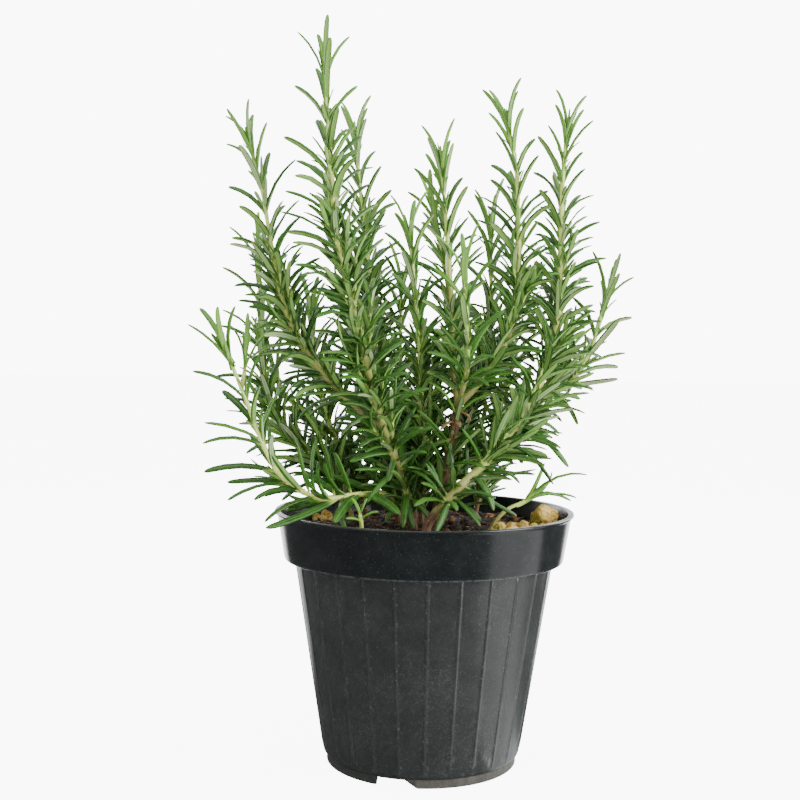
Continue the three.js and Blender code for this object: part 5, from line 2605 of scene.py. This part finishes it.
def turn_to(data: bpy.types.ID, place: Point, axes: Matrix) -> bpy.types.Object:
    """Puts a camera or a lamp in the scene.

    Args:
        data: what it is.
        place: where it stands, in metres.
        axes: how it is turned.

    Returns:
        The new object.
    """
    thing = bpy.data.objects.new(data.name, data)
    thing.matrix_world = Matrix.Translation(place) @ axes.to_4x4()
    bpy.context.scene.collection.objects.link(thing)
    return thing


@dataclass(frozen=True)
class PhotoCamera:
    """The camera of the photograph.

    Attributes:
        place: where it stands, in metres.
        pitch: how far it looks down, in radians.
        roll: how far it is tilted, in radians.
        focal_length: in pixels of the square photograph.
        frame_width: the photograph's width in pixels.
        sensor: the width of the camera's sensor, in millimetres.
    """

    place: Point = (-0.01202, -0.600, 0.1975)
    pitch: float = 0.0468
    roll: float = 0.0127
    focal_length: float = 1281.0
    frame_width: float = 800.0
    sensor: float = 36.0

    def build(self) -> bpy.types.Object:
        """Makes the camera and hands it to the scene.

        Returns:
            The camera.
        """
        data = bpy.data.cameras.new("photo_camera")
        data.sensor_width = self.sensor
        data.lens = self.sensor * self.focal_length / self.frame_width
        right = Vector((1.0, 0.0, 0.0))
        up = Vector((0.0, math.sin(self.pitch), math.cos(self.pitch)))
        back = right.cross(up)
        tilted_right = right * math.cos(self.roll) + up * math.sin(self.roll)
        tilted_up = up * math.cos(self.roll) - right * math.sin(self.roll)
        axes = Matrix((tilted_right, tilted_up, back)).transposed()
        bpy.context.scene.camera = turn_to(data, self.place, axes)
        return bpy.context.scene.camera


@dataclass(frozen=True)
class SoftBox:
    """A soft lamp that faces the plant.

    Attributes:
        name: what it is called.
        place: where it hangs, in metres.
        size: its width and height, in metres.
        power: in watts.
        aim: what it faces, in metres.
    """

    name: str
    place: Point
    size: tuple[float, float]
    power: float
    aim: Point = (0.0, 0.0, 0.15)

    def build(self) -> bpy.types.Object:
        """Hangs the lamp.

        Returns:
            The lamp.
        """
        data = bpy.data.lights.new(self.name, "AREA")
        data.shape = "RECTANGLE"
        data.size, data.size_y = self.size
        data.energy = self.power
        away = Vector(self.aim) - Vector(self.place)
        lamp = turn_to(data, self.place, away.to_track_quat("-Z", "Y").to_matrix())
        lamp.visible_camera = False
        return lamp


@dataclass(frozen=True)
class Studio:
    """A near-white floor and surroundings with soft lamps; for mirrored rays the floor glows as painted
    reflections.

    Attributes:
        floor_reach: half the floor's width, in metres.
        pale: the floor's two shades.
        seen_white: how bright the floor looks behind the plant.
        floor_glow: how much of the floor's look that brightness makes up.
        seen_far: how bright the surroundings look, as a share of that.
        surround: how brightly the surroundings light the plant.
        shaded_front: how bright the floor glows for mirrored rays outside its painted bright bands, which
            the pot shows as a dark painted reflection in front.
        painted_window_reflection: how bright the floor glows for mirrored rays in a band to its right, a
            painted reflection of a window on the pot.
        painted_window_turn: between which turns from the front that painted window lies, in radians.
        painted_window_edges: half the width of its soft edges, in radians.
        painted_far_reflection: how bright the floor glows for mirrored rays behind, a painted reflection of
            a bright floor on the pot.
        painted_far_turn: the turn from which that painted glow begins.
        painted_far_edge: half the width of its soft edge, in radians.
        mirrored: how bright the surroundings in front and behind are mirrored.
    """

    floor_reach: float = 6.0
    pale: tuple[Colour, Colour] = ((0.86, 0.86, 0.855), (0.9, 0.9, 0.895))
    seen_white: float = 13.0
    floor_glow: float = 0.7
    seen_far: float = 0.75
    surround: float = 0.8
    shaded_front: float = 0.12
    painted_window_reflection: float = 1.4
    painted_window_turn: tuple[float, float] = (0.84, 1.7)
    painted_window_edges: tuple[float, float] = (0.06, 0.02)
    painted_far_reflection: float = 4.0
    painted_far_turn: float = 2.5
    painted_far_edge: float = 0.08
    mirrored: tuple[float, float] = (0.35, 2.2)
    boxes: tuple[SoftBox, ...] = (
        SoftBox("top_box", (-0.15, -0.35, 1.25), (1.1, 1.1), 10.5),
        SoftBox("right_window", (0.95, -0.45, 0.4), (0.75, 0.9), 18.5),
        SoftBox("left_fill", (-0.9, -0.75, 0.5), (0.8, 0.9), 1.6),
        SoftBox("back_left", (-0.75, 0.75, 0.5), (0.6, 0.8), 6.0),
        SoftBox("back_right", (0.8, 0.7, 0.5), (0.6, 0.8), 8.0),
    )

    def _floor(self) -> bpy.types.Object:
        """Makes the floor.

        Returns:
            One large square. It glows where the camera sees it, and for mirrored rays it glows as painted
            reflections of a window and of a bright floor behind, dim in front.
        """
        material, bench = new_material("studio_floor")
        shader = bench.tree.nodes["Principled BSDF"]
        shades = bench.noise(bench.place(), 1.5, 2.0).band(0.3, 0.7)
        bench.feed(shader.inputs["Base Color"], bench.blend(shades, *self.pale))
        shader.inputs["Roughness"].default_value = 0.85
        rays = bench.node("ShaderNodeLightPath").outputs
        glow = bench.read("ShaderNodeEmission", 0, {"Strength": self.seen_white})
        seen_share = Value(bench, rays["Is Camera Ray"]) * self.floor_glow
        seen = bench.read("ShaderNodeMixShader", 0, {0: seen_share, 1: shader.outputs[0], 2: glow})
        # Painted reflections: for mirrored rays the floor glows in a window band to the right and beyond
        # the far turn, and dimly elsewhere.
        x, y, _ = bench.parts(bench.place())
        turn = bench.sum("ARCTAN2", x, y * -1.0)
        (start, end), (soft, sharp) = self.painted_window_turn, self.painted_window_edges
        painted_window_reflection = turn.band(start - soft, start + soft) * turn.band(end - sharp, end + sharp, 1.0, 0.0)
        far = abs(turn).band(self.painted_far_turn - self.painted_far_edge, self.painted_far_turn + self.painted_far_edge)
        bright = painted_window_reflection * self.painted_window_reflection + far * self.painted_far_reflection + self.shaded_front
        painted_reflections = bench.read("ShaderNodeEmission", 0, {"Strength": bright})
        feeds = {0: rays["Is Glossy Ray"], 1: seen, 2: painted_reflections}
        shown = bench.read("ShaderNodeMixShader", 0, feeds)
        bench.feed(bench.tree.nodes["Material Output"].inputs["Surface"], shown)
        sides = ((-1, -1, 0), (1, -1, 0), (1, 1, 0), (-1, 1, 0))
        skin = Skin(np.array(sides) * self.floor_reach / MM, [(np.arange(4)[None], 0)])
        return make_object("studio_floor", skin, [material], smooth=False)

    def build(self) -> None:
        """Sets up floor, surroundings and lamps."""
        self._floor()
        world = bpy.data.worlds.new("studio_surround")
        world.use_nodes = True
        bpy.context.scene.world = world
        bench = Bench(world.node_tree)
        shine = world.node_tree.nodes["Background"].inputs
        shine["Color"].default_value = (1.0, 1.0, 1.0, 1.0)
        rays = bench.node("ShaderNodeLightPath").outputs
        seen = Value(bench, rays["Is Camera Ray"])
        mirrored = Value(bench, rays["Is Glossy Ray"])
        around = bench.parts(bench.read("ShaderNodeTexCoord", "Generated"))[1]
        bright = around.band(0.2, 0.8, *self.mirrored) - self.surround
        seen = seen * (self.seen_white * self.seen_far - self.surround)
        bench.feed(shine["Strength"], seen + mirrored * bright + self.surround)
        for box in self.boxes:
            box.build()


def settle(piece: bpy.types.Object, replaced: Iterable[str] = ()) -> None:
    """Ties a piece to the frame.

    Args:
        piece: the piece.
        replaced: the CAD nodes that it stands for.
    """
    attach(piece, "root")
    nodes = list(replaced)
    if nodes:
        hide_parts(*nodes)
    faces = len(piece.data.polygons)
    log.info("%s: %d faces, for %s", piece.name, faces, ", ".join(nodes) or "itself")


def main() -> None:
    """Builds and dresses the pieces in order, and keeps their size."""
    logging.basicConfig(level=logging.INFO, format="%(name)s: %(message)s")
    effects = Effects()
    PhotoCamera().build()
    Studio().build()

    pot = NurseryPot()
    settle(pot.build(PotPlastic().material(effects)), ["pot"])

    bed = SoilBed()
    soil, fibres = bed.build(SoilFinish().material(effects), FibreFinish().material(effects))
    settle(soil, ["soil"])
    settle(fibres)

    clay = ClayFinish().material(effects)
    for clod in CLODS:
        settle(clod.build(clay), [clod.name])
    settle(ClayCrumbs().build(bed, clay))

    thicket = Thicket(pot, bed, Growth())
    thicket.grow()
    bush = RosemaryBush(thicket)
    pieces = bush.build(LeafFinish().material(effects), StemFinish().material(effects))
    for node, piece in pieces.items():
        settle(piece, [node])

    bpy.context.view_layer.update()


if __name__ == "__main__":
    main()
